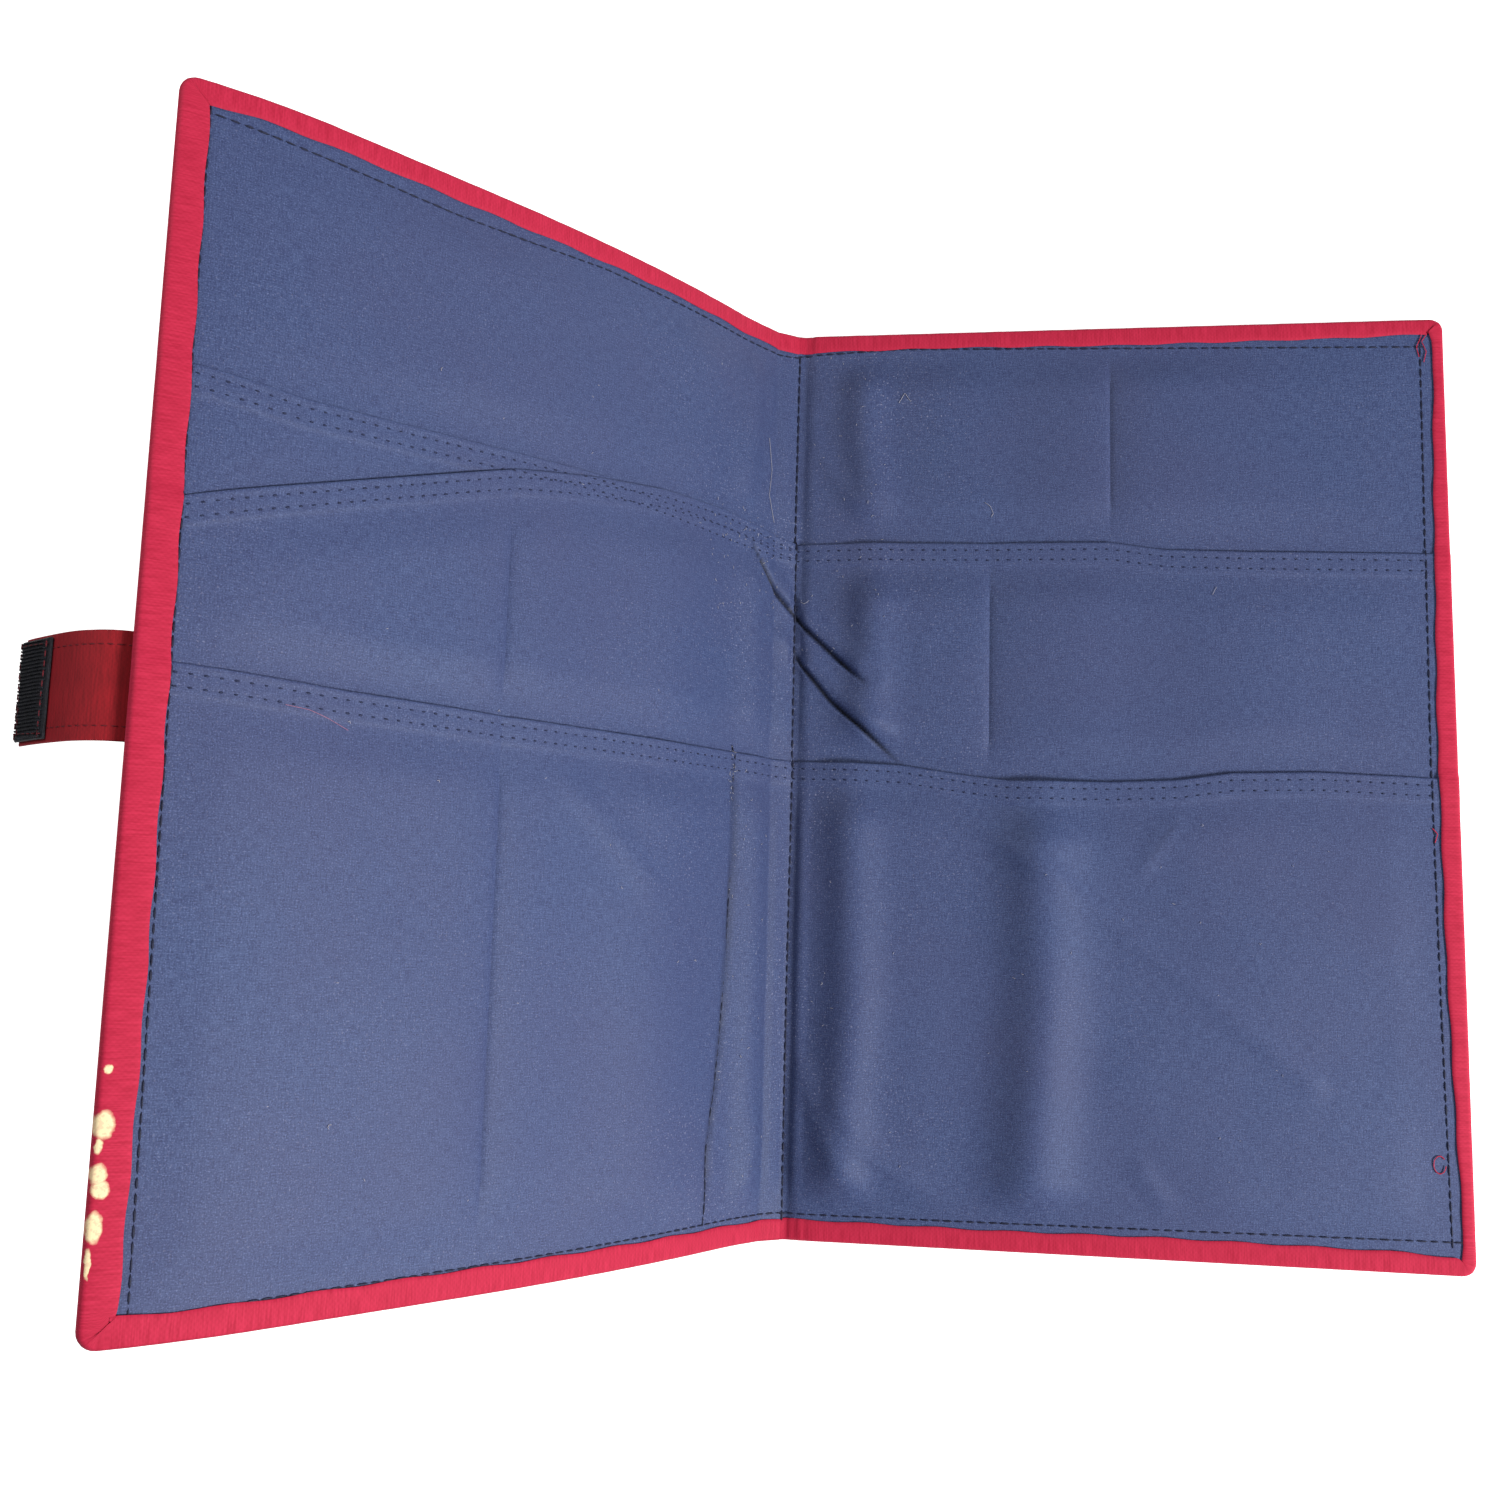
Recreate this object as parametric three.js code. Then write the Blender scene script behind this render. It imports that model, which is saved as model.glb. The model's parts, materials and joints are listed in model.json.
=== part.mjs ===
// Jute file folder, lying open: the back cover flat on the table, the front cover raised.
// Millimetres. +X runs from the spine to the back cover's free edge, +Y up the spine, +Z up.
// The origin is on the table, under the middle of the whole.
//
// The folder is laid out as a flat pattern first, as its maker cuts it, and then folded. A point
// of the pattern is s, across the folder from the spine's middle (the front cover is negative),
// y, up from the bottom edge, and h, in from the jute's outer face.
import * as THREE from "three";

// Covers and spine
const folderHeight = 343;
const coverWidth = 237.4;
const spineWidth = 14;
const cornerRadius = 5;

// How far the folder is open: slopes above the back cover's plane, in degrees. The front cover's
// and the strap's are given at distances from the cover's fold and from its free edge.
const spineSlope = 30;
const frontCoverSlopes = [
  [0, 50],
  [23, 60.5],
  [73, 55.5],
  [133, 50.5],
  [193, 50],
  [237.4, 36],
];
const strapSlopes = [
  [0, 36],
  [8, 0],
  [20, -25],
  [43, -35],
];

// Thickness of each material, and the clearances between pieces
const juteThickness = 1;
const boardThickness = 1.6;
const clothThickness = 0.3;
const hemThickness = 0.6;
const bindingThickness = 0.5;
const layerGap = 0.15;
const foldGap = 0.2;

// The boards stop short of the folds, and the cloth runs down off them to the spine's level,
// which it reaches at clothDrop from the fold
const boardSetback = 5.6;
const clothDrop = 2.6;

// The binding tape, folded over the edge of all layers, which end inside it
const bindingInnerLeg = 8;
const bindingOuterLeg = 9;
const bindingRounding = 0.8;
const rimMargin = 2.4;

// Upper edges of the three pockets as [s, y], and the depth of their hems
const hemDepth = 8.5;
const upperPocketEdge = [
  [-233, 259.7],
  [-204, 257.2],
  [-133, 259.4],
  [3.5, 258.6],
  [123, 258.3],
  [174, 254.3],
  [235, 253.2],
];
const slantedPocketEdge = [
  [-234, 222.5],
  [-133, 253.6],
  [-97, 259.5],
  [-70, 262.4],
  [-36, 263.7],
  [-7, 260.5],
];
const lowerPocketEdge = [
  [-233, 176.1],
  [-188, 174.4],
  [-54, 174.2],
  [46, 173.5],
  [87, 168.1],
  [147, 169.1],
  [196, 172.6],
  [235, 171],
];

// Pressed folds that show as upright edges in the cloth: how far each stands up, and how wide
// the edge is
const frontCrease = -134;
const backPocketCrease = 79;
const backLiningCrease = 123.5;
const creaseStep = 0.4;
const creaseHalfWidth = 0.6;

// Soft folds that run up the cloth, as [s, half its width, height]
const liningFolds = [
  [28, 6, 0.9],
  [52, 9, 0.7],
  [-26, 7, 0.8],
];
const upperPocketFolds = [
  [34, 6, 1.1],
  [58, 10, 0.8],
];
const slantedPocketFolds = [
  [-28, 9, 1.2],
  [-62, 14, 0.8],
];
const lowerPocketFolds = [
  [27, 8, 1.7],
  [96, 13, 1.3],
  [-18, 6, 1.4],
  [-80, 30, 1.2],
];

// Wrinkles and drag lines across the cloth, as [one end, other end, half its width, height]
const upperPocketWrinkles = [
  [[-20, 250], [33, 204], 4, 2.2],
  [[8, 212], [44, 178], 4, 2.2],
];
const lowerPocketWrinkles = [
  [[58, 164], [198, 57], 4, 0.7],
  [[-117, 164], [-67, 119], 5, 0.6],
];

// The cloth lies flat at its hems and where it runs under another pocket, and its slack rises
// over these distances from them
const flatByHem = 6;
const flatUnderEdge = 4;
const slackRise = 6;
const edgeClearance = 12;

// The strap sewn behind the front cover's free edge, its hook tape, and the loop tape that the
// strap reaches round the closed folder to on the back cover's outer face
const strapWidth = 30;
const strapThickness = 0.9;
const strapMiddle = 169.2;
const strapFree = 43;
const strapSewn = 25;
const tapeWidth = 28;
const hookTapeLength = 16;
const hookTapeThickness = 1.4;
const loopTapeLength = 22;
const loopTapeThickness = 1;
const loopTapeInset = 11;

const { clamp, degToRad, lerp } = THREE.MathUtils;

// Keeps a column or a station on its own side of a fold
const hairline = 1e-3;

// Values worked out from the sizes above
const fold = spineWidth / 2;
const freeEdge = fold + coverWidth;
const layerReach = coverWidth - rimMargin;
const layerPitch = clothThickness + layerGap;
const hemExtra = hemThickness - clothThickness;
const boardLow = juteThickness + layerGap;
const boardHigh = boardLow + boardThickness;
const layerLow = rimMargin;
const layerHigh = folderHeight - rimMargin;
const upperHigh = along(upperPocketEdge, 0);
const lowerHigh = along(lowerPocketEdge, 0);

// 0 before start, 1 after end, and a straight rise between
function ramp(value, start, end) {
  return clamp((value - start) / (end - start), 0, 1);
}

// The value at a place along a list of [place, value] pairs, with its end values held beyond it
function along(pairs, place) {
  const next = pairs.findIndex((pair) => pair[0] > place);
  if (next === 0) return pairs[0][1];
  if (next < 0) return pairs.at(-1)[1];
  const [start, low] = pairs[next - 1];
  const [end, high] = pairs[next];
  return lerp(low, high, (place - start) / (end - start));
}

// The outer face of the front cover and then of the strap, in the XZ plane, one point for each
// millimetre from the front fold and a few past the strap's end
const profileSpare = 3;
function frontProfile() {
  const spine = degToRad(spineSlope);
  const start = [fold - spineWidth * Math.cos(spine), spineWidth * Math.sin(spine)];
  const points = [new THREE.Vector2(...start)];
  for (let distance = 0.5; distance < coverWidth + strapFree + profileSpare; distance += 1) {
    const past = distance - coverWidth;
    const degrees = past < 0 ? along(frontCoverSlopes, distance) : along(strapSlopes, past);
    const slope = degToRad(degrees);
    const step = new THREE.Vector2(-Math.cos(slope), Math.sin(slope));
    points.push(points.at(-1).clone().add(step));
  }
  return points;
}
const frontPoints = frontProfile();

// The folded place of a point of the flat pattern
function place(s, y, h) {
  const point = new THREE.Vector2(s, 0);
  const across = new THREE.Vector2(1, 0);
  if (s < -fold) {
    const distance = Math.min(-fold - s, frontPoints.length - 2);
    const first = Math.floor(distance);
    const from = frontPoints[first];
    const to = frontPoints[first + 1];
    point.lerpVectors(from, to, distance - first);
    // The direction is blended between neighbouring steps, so that facets meet
    const before = frontPoints[Math.max(first - 1, 0)];
    const after = frontPoints[Math.min(first + 2, frontPoints.length - 1)];
    const start = new THREE.Vector2().subVectors(before, to);
    const end = new THREE.Vector2().subVectors(from, after);
    across.lerpVectors(start.normalize(), end.normalize(), distance - first).normalize();
  } else if (s < fold) {
    const spine = degToRad(spineSlope);
    across.set(Math.cos(spine), -Math.sin(spine));
    point.set(fold, 0).addScaledVector(across, s - fold);
  }
  const x = point.x - across.y * h;
  const z = point.y + across.x * h;
  return new THREE.Vector3(x - fold - coverWidth / 2, y - folderHeight / 2, z);
}

// Both sides of a fold are mitred, so that it can close square: a point stays at least its own
// height away from the fold line.
function clearOfFold(s, h) {
  const clearance = Math.max(h, 0) + foldGap;
  if (Math.abs(s) < fold) return (s / fold) * (fold - clearance);
  return Math.sign(s) * Math.max(Math.abs(s), fold + clearance);
}

// The underside of the cloth layer that lies over the given number of others. It may be a
// fraction where a layer is coming to its end.
function layerLevel(s, below) {
  const onSpine = juteThickness + layerGap + below * layerPitch;
  const onBoard = boardHigh + layerGap + below * layerPitch;
  const rise = ramp(Math.abs(s) - fold, clothDrop, boardSetback);
  return lerp(onSpine, onBoard, rise);
}

// A soft bump of the given height round a place or a line
function bump(distance, halfWidth, height) {
  return height * Math.exp(-((distance / halfWidth) ** 2));
}

function distanceToLine(s, y, [s0, y0], [s1, y1]) {
  const line = new THREE.Line3(new THREE.Vector3(s0, y0, 0), new THREE.Vector3(s1, y1, 0));
  const point = new THREE.Vector3(s, y, 0);
  return line.closestPointToPoint(point, true, new THREE.Vector3()).distanceTo(point);
}

// Slack in the cloth dies away towards the binding and the folds
function loose(s, y) {
  const rim = Math.min(freeEdge - Math.abs(s), y, folderHeight - y);
  const fromFold = Math.abs(Math.abs(s) - fold);
  return ramp(rim, bindingInnerLeg + 2, 24) * ramp(fromFold, 3, 14);
}

function softFolds(s, folds) {
  return folds.reduce((sum, [middle, halfWidth, height]) => sum + bump(s - middle, halfWidth, height), 0);
}

function wrinkles(s, y, lines) {
  return lines.reduce(
    (sum, [start, end, halfWidth, height]) =>
      sum + bump(distanceToLine(s, y, start, end), halfWidth, height),
    0,
  );
}

// A pressed fold: the cloth stands one step higher on the side away from the spine, or on the
// side towards it
function pressedOutside(s, crease) {
  return creaseStep * ramp(Math.abs(s) - Math.abs(crease), -creaseHalfWidth, creaseHalfWidth);
}

function pressedInside(s, crease) {
  const step = creaseStep - pressedOutside(s, crease);
  return s > fold ? step * ramp(s, crease / 2, crease - 8) : 0;
}

// How far each sheet of cloth stands up from the layer that it lies on
function liningSlack(s, y) {
  const shown = ramp(y, upperHigh + slackRise, upperHigh + 3 * slackRise);
  return shown * loose(s, y) * (softFolds(s, liningFolds) + pressedInside(s, backLiningCrease));
}

function upperPocketSlack(s, y) {
  const overLower = ramp(y, lowerHigh + flatUnderEdge, lowerHigh + flatUnderEdge + slackRise);
  const hemStart = upperHigh - hemDepth;
  const underHem = 1 - ramp(y, hemStart - flatByHem, hemStart);
  const slack =
    softFolds(s, upperPocketFolds) +
    wrinkles(s, y, upperPocketWrinkles) +
    pressedInside(s, backPocketCrease);
  return overLower * underHem * loose(s, y) * slack;
}

function slantedPocketSlack(s, y) {
  const start = lowerHigh + edgeClearance + slackRise;
  const shown = ramp(y, start, start + edgeClearance);
  return shown * loose(s, y) * (softFolds(s, slantedPocketFolds) + pressedOutside(s, frontCrease));
}

function lowerPocketSlack(s, y) {
  const hemStart = lowerHigh - hemDepth;
  const nearHem = ramp(y, hemStart - edgeClearance - 2, hemStart);
  const pressed = isFront(s) ? pressedOutside(s, frontCrease) : 0;
  const slack = softFolds(s, lowerPocketFolds) + wrinkles(s, y, lowerPocketWrinkles) + pressed;
  return loose(s, y) * slack * (1 - 0.6 * nearHem);
}

// The sheets of cloth from the lining up, each with its upper edge, if it is a pocket, and slack
const layers = {
  lining: { slack: liningSlack },
  upperPocket: { edge: upperPocketEdge, slack: upperPocketSlack },
  slantedPocket: { edge: slantedPocketEdge, slack: slantedPocketSlack },
  lowerPocket: { edge: lowerPocketEdge, slack: lowerPocketSlack },
};

function isFront(s) {
  return s < -fold;
}

function layersBelow(name, s) {
  const order = ["lining", "upperPocket", "slantedPocket", "lowerPocket"];
  const below = order.indexOf(name);
  return below === 3 && !isFront(s) ? 2 : below;
}

// What lies over the upper pocket's hem on the front cover stands on that hem
function overHem(name, s) {
  return isFront(s) && (name === "slantedPocket" || name === "lowerPocket") ? hemExtra : 0;
}

function underside(name, s) {
  return layerLevel(s, layersBelow(name, s)) + overHem(name, s);
}

// Top of all layers at the rim, where the binding holds them. Each pocket adds to it below its
// upper edge, and its hem a little more.
function stackTop(s, y) {
  const tip = Math.sign(s) * Math.min(Math.abs(s), freeEdge - bindingInnerLeg);
  let below = 0;
  let overUpperHem = 0;
  let hem = 0;
  for (const name of ["upperPocket", "slantedPocket", "lowerPocket"]) {
    if (name === "slantedPocket" && !isFront(s)) continue;
    const edge = layers[name].edge;
    const high = Math.max(along(edge, s), along(edge, tip));
    const low = Math.min(along(edge, s), along(edge, tip)) - hemDepth;
    const present = 1 - ramp(y, high + 0.5, high + 3);
    below += present;
    hem = Math.max(hem, Math.min(present, ramp(y, low - 3, low - 0.5)) * hemExtra);
    if (name === "slantedPocket") overUpperHem = present * hemExtra;
  }
  return layerLevel(s, below) + clothThickness + overUpperHem + hem;
}

// Distances from the fold at which a cover is divided: closer near the fold, with a pair of
// lines at each pressed fold
function coverColumns() {
  const creases = [frontCrease, backPocketCrease, backLiningCrease].map((s) => Math.abs(s) - fold);
  const columns = [0, boardSetback, layerReach];
  for (let d = boardSetback + 5; d < layerReach - 6; d += d < 60 ? 7 : 13) {
    if (creases.every((crease) => Math.abs(d - crease) > 4)) columns.push(d);
  }
  for (const crease of creases) {
    if (crease < layerReach - 4) columns.push(crease - creaseHalfWidth, crease + creaseHalfWidth);
  }
  return columns.sort((a, b) => a - b);
}
const columnDistances = coverColumns();
const spineShares = [-1, -0.66, -0.33, 0, 0.33, 0.66, 1];

// Columns of the flat pattern, in rising s, for the part of the folder that a piece belongs to
const columns = {
  back: columnDistances.map((d) => fold + d),
  spine: spineShares.map((share) => share * (fold - hairline)),
  front: columnDistances.map((d) => -fold - d - hairline).reverse(),
};
const plainColumns = {
  back: [columns.back[0], columns.back.at(-1)],
  spine: [columns.spine[0], columns.spine.at(-1)],
  front: columns.front,
};

function geometryOf(points, index) {
  const geometry = new THREE.BufferGeometry().setFromPoints(points);
  geometry.setIndex(index);
  geometry.computeVertexNormals();
  return geometry;
}

// A closed solid over a grid of the flat pattern, with its rows spread between its lower edge
// and its upper edge at each column
function layerSolid(columnList, rows, { edge, under, thickness }) {
  const low = rows[0];
  const high = rows.at(-1);
  const points = [];
  for (const side of [0, 1]) {
    for (const s of columnList) {
      const top = edge ? along(edge, s) : high;
      for (const row of rows) {
        const y = low + ((row - low) * (top - low)) / (high - low);
        const h = under(s, y) + side * thickness(row);
        points.push(place(clearOfFold(s, h), y, h));
      }
    }
  }
  const wide = columnList.length;
  const tall = rows.length;
  const at = (side, i, j) => (side * wide + i) * tall + j;
  const index = [];
  const quad = (a, b, c, d) => index.push(a, b, c, a, c, d);
  for (let i = 0; i < wide - 1; i++) {
    for (let j = 0; j < tall - 1; j++) {
      quad(at(1, i, j), at(1, i + 1, j), at(1, i + 1, j + 1), at(1, i, j + 1));
      quad(at(0, i, j), at(0, i, j + 1), at(0, i + 1, j + 1), at(0, i + 1, j));
    }
    quad(at(0, i, 0), at(0, i + 1, 0), at(1, i + 1, 0), at(1, i, 0));
    quad(at(0, i, tall - 1), at(1, i, tall - 1), at(1, i + 1, tall - 1), at(0, i + 1, tall - 1));
  }
  for (let j = 0; j < tall - 1; j++) {
    quad(at(0, 0, j), at(1, 0, j), at(1, 0, j + 1), at(0, 0, j + 1));
    quad(at(0, wide - 1, j), at(0, wide - 1, j + 1), at(1, wide - 1, j + 1), at(1, wide - 1, j));
  }
  return geometryOf(points, index);
}

// Jute, board and tapes keep one height over their whole width
function plainSolid(columnList, low, high, under, thickness) {
  return layerSolid(columnList, [low, high], { under: () => under, thickness: () => thickness });
}

// Rows of a sheet: few where another layer hides it, and closer where it shows
function spread(from, to, step) {
  const count = Math.max(Math.round((to - from) / step), 1);
  return Array.from({ length: count + 1 }, (_, i) => lerp(from, to, i / count));
}
const hiddenBy = hemDepth + 4;
const hemRows = (high) => [high - hemDepth - 0.5, high - hemDepth, high];
const rowsOf = {
  lining: [layerLow, ...spread(upperHigh - hiddenBy, layerHigh, 13)],
  upperPocket: [
    layerLow,
    ...spread(lowerHigh - hiddenBy, upperHigh - hemDepth - 8, 12),
    ...hemRows(upperHigh),
  ],
  slantedPocket: [
    layerLow,
    ...spread(lowerHigh - hiddenBy, upperHigh - hemDepth - 8, 18),
    ...hemRows(upperHigh),
  ],
  lowerPocket: [
    layerLow,
    ...spread(bindingInnerLeg + 4, lowerHigh - hemDepth - 8, 20),
    ...hemRows(lowerHigh),
  ],
};

// One sheet of cloth on one part of the folder
function clothSolid(name, part) {
  const { edge, slack } = layers[name];
  const rows = rowsOf[name];
  const hemStart = rows.at(-1) - hemDepth;
  return layerSolid(columns[part], rows, {
    edge,
    under: (s, y) => underside(name, s) + slack(s, y),
    thickness: (row) => (edge && row >= hemStart ? hemThickness : clothThickness),
  });
}

// The section of the binding at one station, as [distance in from the edge, h] pairs
function bindingSection(s, y) {
  const low = -layerGap;
  const high = stackTop(s, y) + layerGap;
  const outerLow = low - bindingThickness;
  const outerHigh = high + bindingThickness;
  return [
    [bindingOuterLeg, outerLow],
    [bindingOuterLeg, low],
    [bindingThickness, low],
    [bindingThickness, high],
    [bindingInnerLeg, high],
    [bindingInnerLeg, outerHigh],
    [bindingRounding, outerHigh],
    [0, outerHigh - bindingRounding],
    [0, outerLow + bindingRounding],
    [bindingRounding, outerLow],
  ];
}

// The triangles that close the section at the binding's ends: outer leg, edge and inner leg
const sectionFaces = [
  [9, 0, 1],
  [9, 1, 2],
  [8, 9, 2],
  [7, 8, 2],
  [7, 2, 3],
  [6, 7, 3],
  [6, 3, 4],
  [6, 4, 5],
];

// A U section swept along stations, with closed ends. Each station gives the flat place at any
// distance in from the edge. Direction is 1 where the stations have the folder on their right,
// seen from inside, and -1 where they have it on their left.
function bindingSolid(stations, direction) {
  const sections = stations.map((station) => {
    const [s, y] = station(0);
    return bindingSection(s, y).map(([distance, h]) => {
      const [sHere, yHere] = station(distance);
      return place(clearOfFold(sHere, h), yHere, h);
    });
  });
  const around = sections[0].length;
  const last = (sections.length - 1) * around;
  const index = [];
  const face = (a, b, c) => (direction > 0 ? index.push(a, c, b) : index.push(a, b, c));
  for (let i = 0; i < sections.length - 1; i++) {
    for (let j = 0; j < around; j++) {
      const a = i * around + j;
      const b = i * around + ((j + 1) % around);
      face(a, b, b + around);
      face(a, b + around, a + around);
    }
  }
  for (const [a, b, c] of sectionFaces) {
    face(a, c, b);
    face(last + a, last + b, last + c);
  }
  const points = sections.flat();
  const same = (a, b) => points[a].equals(points[b]);
  const kept = [];
  for (let i = 0; i < index.length; i += 3) {
    const [a, b, c] = index.slice(i, i + 3);
    if (!same(a, b) && !same(b, c) && !same(c, a)) kept.push(a, b, c);
  }
  return geometryOf(points, kept);
}

// Stations round the three outer edges of a cover, from the fold along the top, round both
// corners and back along the bottom. Side is 1 on the back cover and -1 on the front cover.
function coverStations(side) {
  const across = side > 0 ? [0, boardSetback, 30, 110] : columnDistances;
  const straight = across.filter((d) => d < coverWidth - cornerRadius - 3);
  const near = fold + hairline;
  const top = straight.map((d) => (inset) => [side * (near + d), folderHeight - inset]);
  const bottom = straight.map((d) => (inset) => [side * (near + d), inset]).reverse();
  const heights = new Set([folderHeight / 2, folderHeight / 4]);
  const pockets = [upperPocketEdge, lowerPocketEdge];
  if (side < 0) pockets.push(slantedPocketEdge);
  for (const edge of pockets) {
    const ends = [freeEdge, freeEdge - bindingInnerLeg].map((s) => along(edge, side * s));
    const high = Math.max(...ends);
    const low = Math.min(...ends) - hemDepth;
    for (const y of [high + 3, high + 0.5, low - 0.5, low - 3]) heights.add(y);
  }
  const down = [...heights].sort((a, b) => b - a);
  const sideEdge = down.map((y) => (inset) => [side * (freeEdge - inset), y]);
  const corner = (yMiddle, up, angles) =>
    angles.map((degrees) => (inset) => {
      const radius = cornerRadius - inset;
      const square = Math.max(inset - cornerRadius, 0);
      const s = freeEdge - cornerRadius - square + Math.max(radius, 0) * Math.sin(degToRad(degrees));
      const y = yMiddle + up * (Math.max(radius, 0) * Math.cos(degToRad(degrees)) - square);
      return [side * s, y];
    });
  const turn = [0, 30, 60, 90];
  return [
    ...top,
    ...corner(folderHeight - cornerRadius, 1, turn),
    ...sideEdge,
    ...corner(cornerRadius, -1, [...turn].reverse()),
    ...bottom,
  ];
}

function spineStations(up) {
  const ends = [hairline - fold, 0, fold - hairline];
  return ends.map((s) => (inset) => [s, up ? folderHeight - inset : inset]);
}

// Finishes
const finish = (color, roughness) =>
  new THREE.MeshStandardMaterial({ color, roughness, metalness: 0, side: THREE.DoubleSide });
const jute = finish(0xb9975f, 0.95);
const greyBoard = finish(0x8d867a, 0.9);
const blueCotton = finish(0x46567e, 0.75);
const redTwill = finish(0xc8324f, 0.8);
const blackTape = finish(0x15151b, 0.9);

const folder = new THREE.Group();

function add(name, geometry, material) {
  const mesh = new THREE.Mesh(geometry, material);
  mesh.name = name;
  folder.add(mesh);
}

// Jute outer cloth, one piece on the real folder, divided here at its two folds
for (const part of ["back", "spine", "front"]) {
  const solid = plainSolid(plainColumns[part], layerLow, layerHigh, 0, juteThickness);
  add(`jute_${part}`, solid, jute);
}

// Grey boards that stiffen the covers
const backBoard = [fold + boardSetback, fold + layerReach];
const frontBoard = columns.front.filter((s) => s <= -fold - boardSetback);
for (const [part, list] of Object.entries({ back: backBoard, front: frontBoard })) {
  const solid = plainSolid(list, layerLow, layerHigh, boardLow, boardThickness);
  add(`board_${part}`, solid, greyBoard);
}

// Lining and pockets
for (const part of ["back", "spine", "front"]) {
  add(`lining_${part}`, clothSolid("lining", part), blueCotton);
  add(`upper_pocket_${part}`, clothSolid("upperPocket", part), blueCotton);
  add(`lower_pocket_${part}`, clothSolid("lowerPocket", part), blueCotton);
}
add("slanted_pocket_front", clothSolid("slantedPocket", "front"), blueCotton);

// Binding
add("binding_back", bindingSolid(coverStations(1), 1), redTwill);
add("binding_front", bindingSolid(coverStations(-1), -1), redTwill);
add("binding_spine_top", bindingSolid(spineStations(true), 1), redTwill);
add("binding_spine_bottom", bindingSolid(spineStations(false), -1), redTwill);

// Strap and tapes
const bindingOuterFace = -layerGap - bindingThickness;
const strapLow = bindingOuterFace - layerGap - strapThickness;
const strapEnd = freeEdge + strapFree;
const behindCover = columnDistances.filter((d) => d > coverWidth - strapSewn + 3);
const strapDistances = [
  coverWidth - strapSewn,
  ...behindCover,
  ...spread(coverWidth, coverWidth + strapFree, 3),
];
const strapColumns = strapDistances.map((d) => -fold - d).reverse();
const strapSides = [strapMiddle - strapWidth / 2, strapMiddle + strapWidth / 2];
add("strap", plainSolid(strapColumns, ...strapSides, strapLow, strapThickness), redTwill);

const tapeSides = [strapMiddle - tapeWidth / 2, strapMiddle + tapeWidth / 2];
const hookTapeLow = strapLow + strapThickness + layerGap;
const hookColumns = strapColumns.filter((s) => s <= hookTapeLength - strapEnd + 0.5);
add("hook_tape", plainSolid(hookColumns, ...tapeSides, hookTapeLow, hookTapeThickness), blackTape);

const loopTapeEnd = freeEdge - loopTapeInset;
const loopColumns = [loopTapeEnd - loopTapeLength, loopTapeEnd];
const loopTapeLow = -layerGap - loopTapeThickness;
add("loop_tape", plainSolid(loopColumns, ...tapeSides, loopTapeLow, loopTapeThickness), blackTape);

// The whole is moved so that it lies on the table, with its middle over the origin
const bounds = new THREE.Box3().setFromObject(folder);
const middle = bounds.getCenter(new THREE.Vector3());
folder.position.set(-middle.x, -middle.y, -bounds.min.z);

export default folder;
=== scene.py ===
# %% [markdown]
# # A jute file folder, lying open
# The folder is two stiff covers and a narrow spine, sewn from jute and lined with blue cotton.
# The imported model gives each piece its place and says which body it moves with.

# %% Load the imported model
import json
import math

import bpy
import numpy as np
from mathutils import Matrix, Vector


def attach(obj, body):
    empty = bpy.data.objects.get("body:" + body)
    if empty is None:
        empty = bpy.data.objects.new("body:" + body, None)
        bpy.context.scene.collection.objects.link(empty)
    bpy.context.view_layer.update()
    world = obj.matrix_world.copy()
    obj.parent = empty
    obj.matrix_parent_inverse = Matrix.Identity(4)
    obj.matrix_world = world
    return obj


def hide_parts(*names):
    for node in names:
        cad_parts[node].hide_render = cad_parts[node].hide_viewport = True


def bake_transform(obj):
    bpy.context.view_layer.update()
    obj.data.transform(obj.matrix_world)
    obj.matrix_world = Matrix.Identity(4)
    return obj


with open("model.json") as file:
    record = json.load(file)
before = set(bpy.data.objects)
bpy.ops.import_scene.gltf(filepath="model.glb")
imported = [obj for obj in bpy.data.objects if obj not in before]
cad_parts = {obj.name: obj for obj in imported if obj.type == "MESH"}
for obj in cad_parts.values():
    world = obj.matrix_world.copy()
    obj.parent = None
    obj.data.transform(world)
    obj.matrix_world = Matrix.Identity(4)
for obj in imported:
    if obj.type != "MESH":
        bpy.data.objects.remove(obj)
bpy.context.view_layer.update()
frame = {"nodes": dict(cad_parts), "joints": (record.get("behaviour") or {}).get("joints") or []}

nodes = frame["nodes"]

# %% [markdown]
# ## The flat pattern and its folds
# A maker cuts this folder flat, so every place on it is easiest to give on the flat pattern: s
# across the folder from the middle of the spine (the front cover is negative), y up from the
# bottom edge, and h in from the outer face of the jute, all in millimetres. One function then
# folds the pattern. Sewn cloth turns over a few millimetres at a fold, so the slope is smoothed.

# %% Sizes of the pattern
MM = 0.001
FOLDER_HEIGHT = 343.0
COVER_WIDTH = 237.4
FOLD = 7.0
FREE_EDGE = FOLD + COVER_WIDTH
CORNER_RADIUS = 5.0
RIM_MARGIN = 2.4
STRAP_FREE = 43.0
SPINE_SLOPE = 30.0
COVER_SLOPES = [(0, 50), (23, 60.5), (73, 55.5), (133, 50.5), (193, 50), (237.4, 36)]
STRAP_SLOPES = [(0, 36), (8, 0), (20, -25), (43, -35)]
FOLD_TURN = 7.0

JUTE = 1.0
BOARD = 1.6
CLOTH = 0.3
HEM = 0.6
TAPE = 0.5
GAP = 0.15
PITCH = CLOTH + GAP
BOARD_SETBACK = 5.6
SPINE_SEAM = 3.5

# %% Fold the pattern
def along(pairs, place):
    """The value at a place on a line given as (place, value) pairs."""
    xs, values = zip(*pairs)
    return np.interp(place, xs, values)


def smooth(value, start, end):
    t = np.clip((value - start) / (end - start), 0, 1)
    return t * t * (3 - 2 * t)


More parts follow.
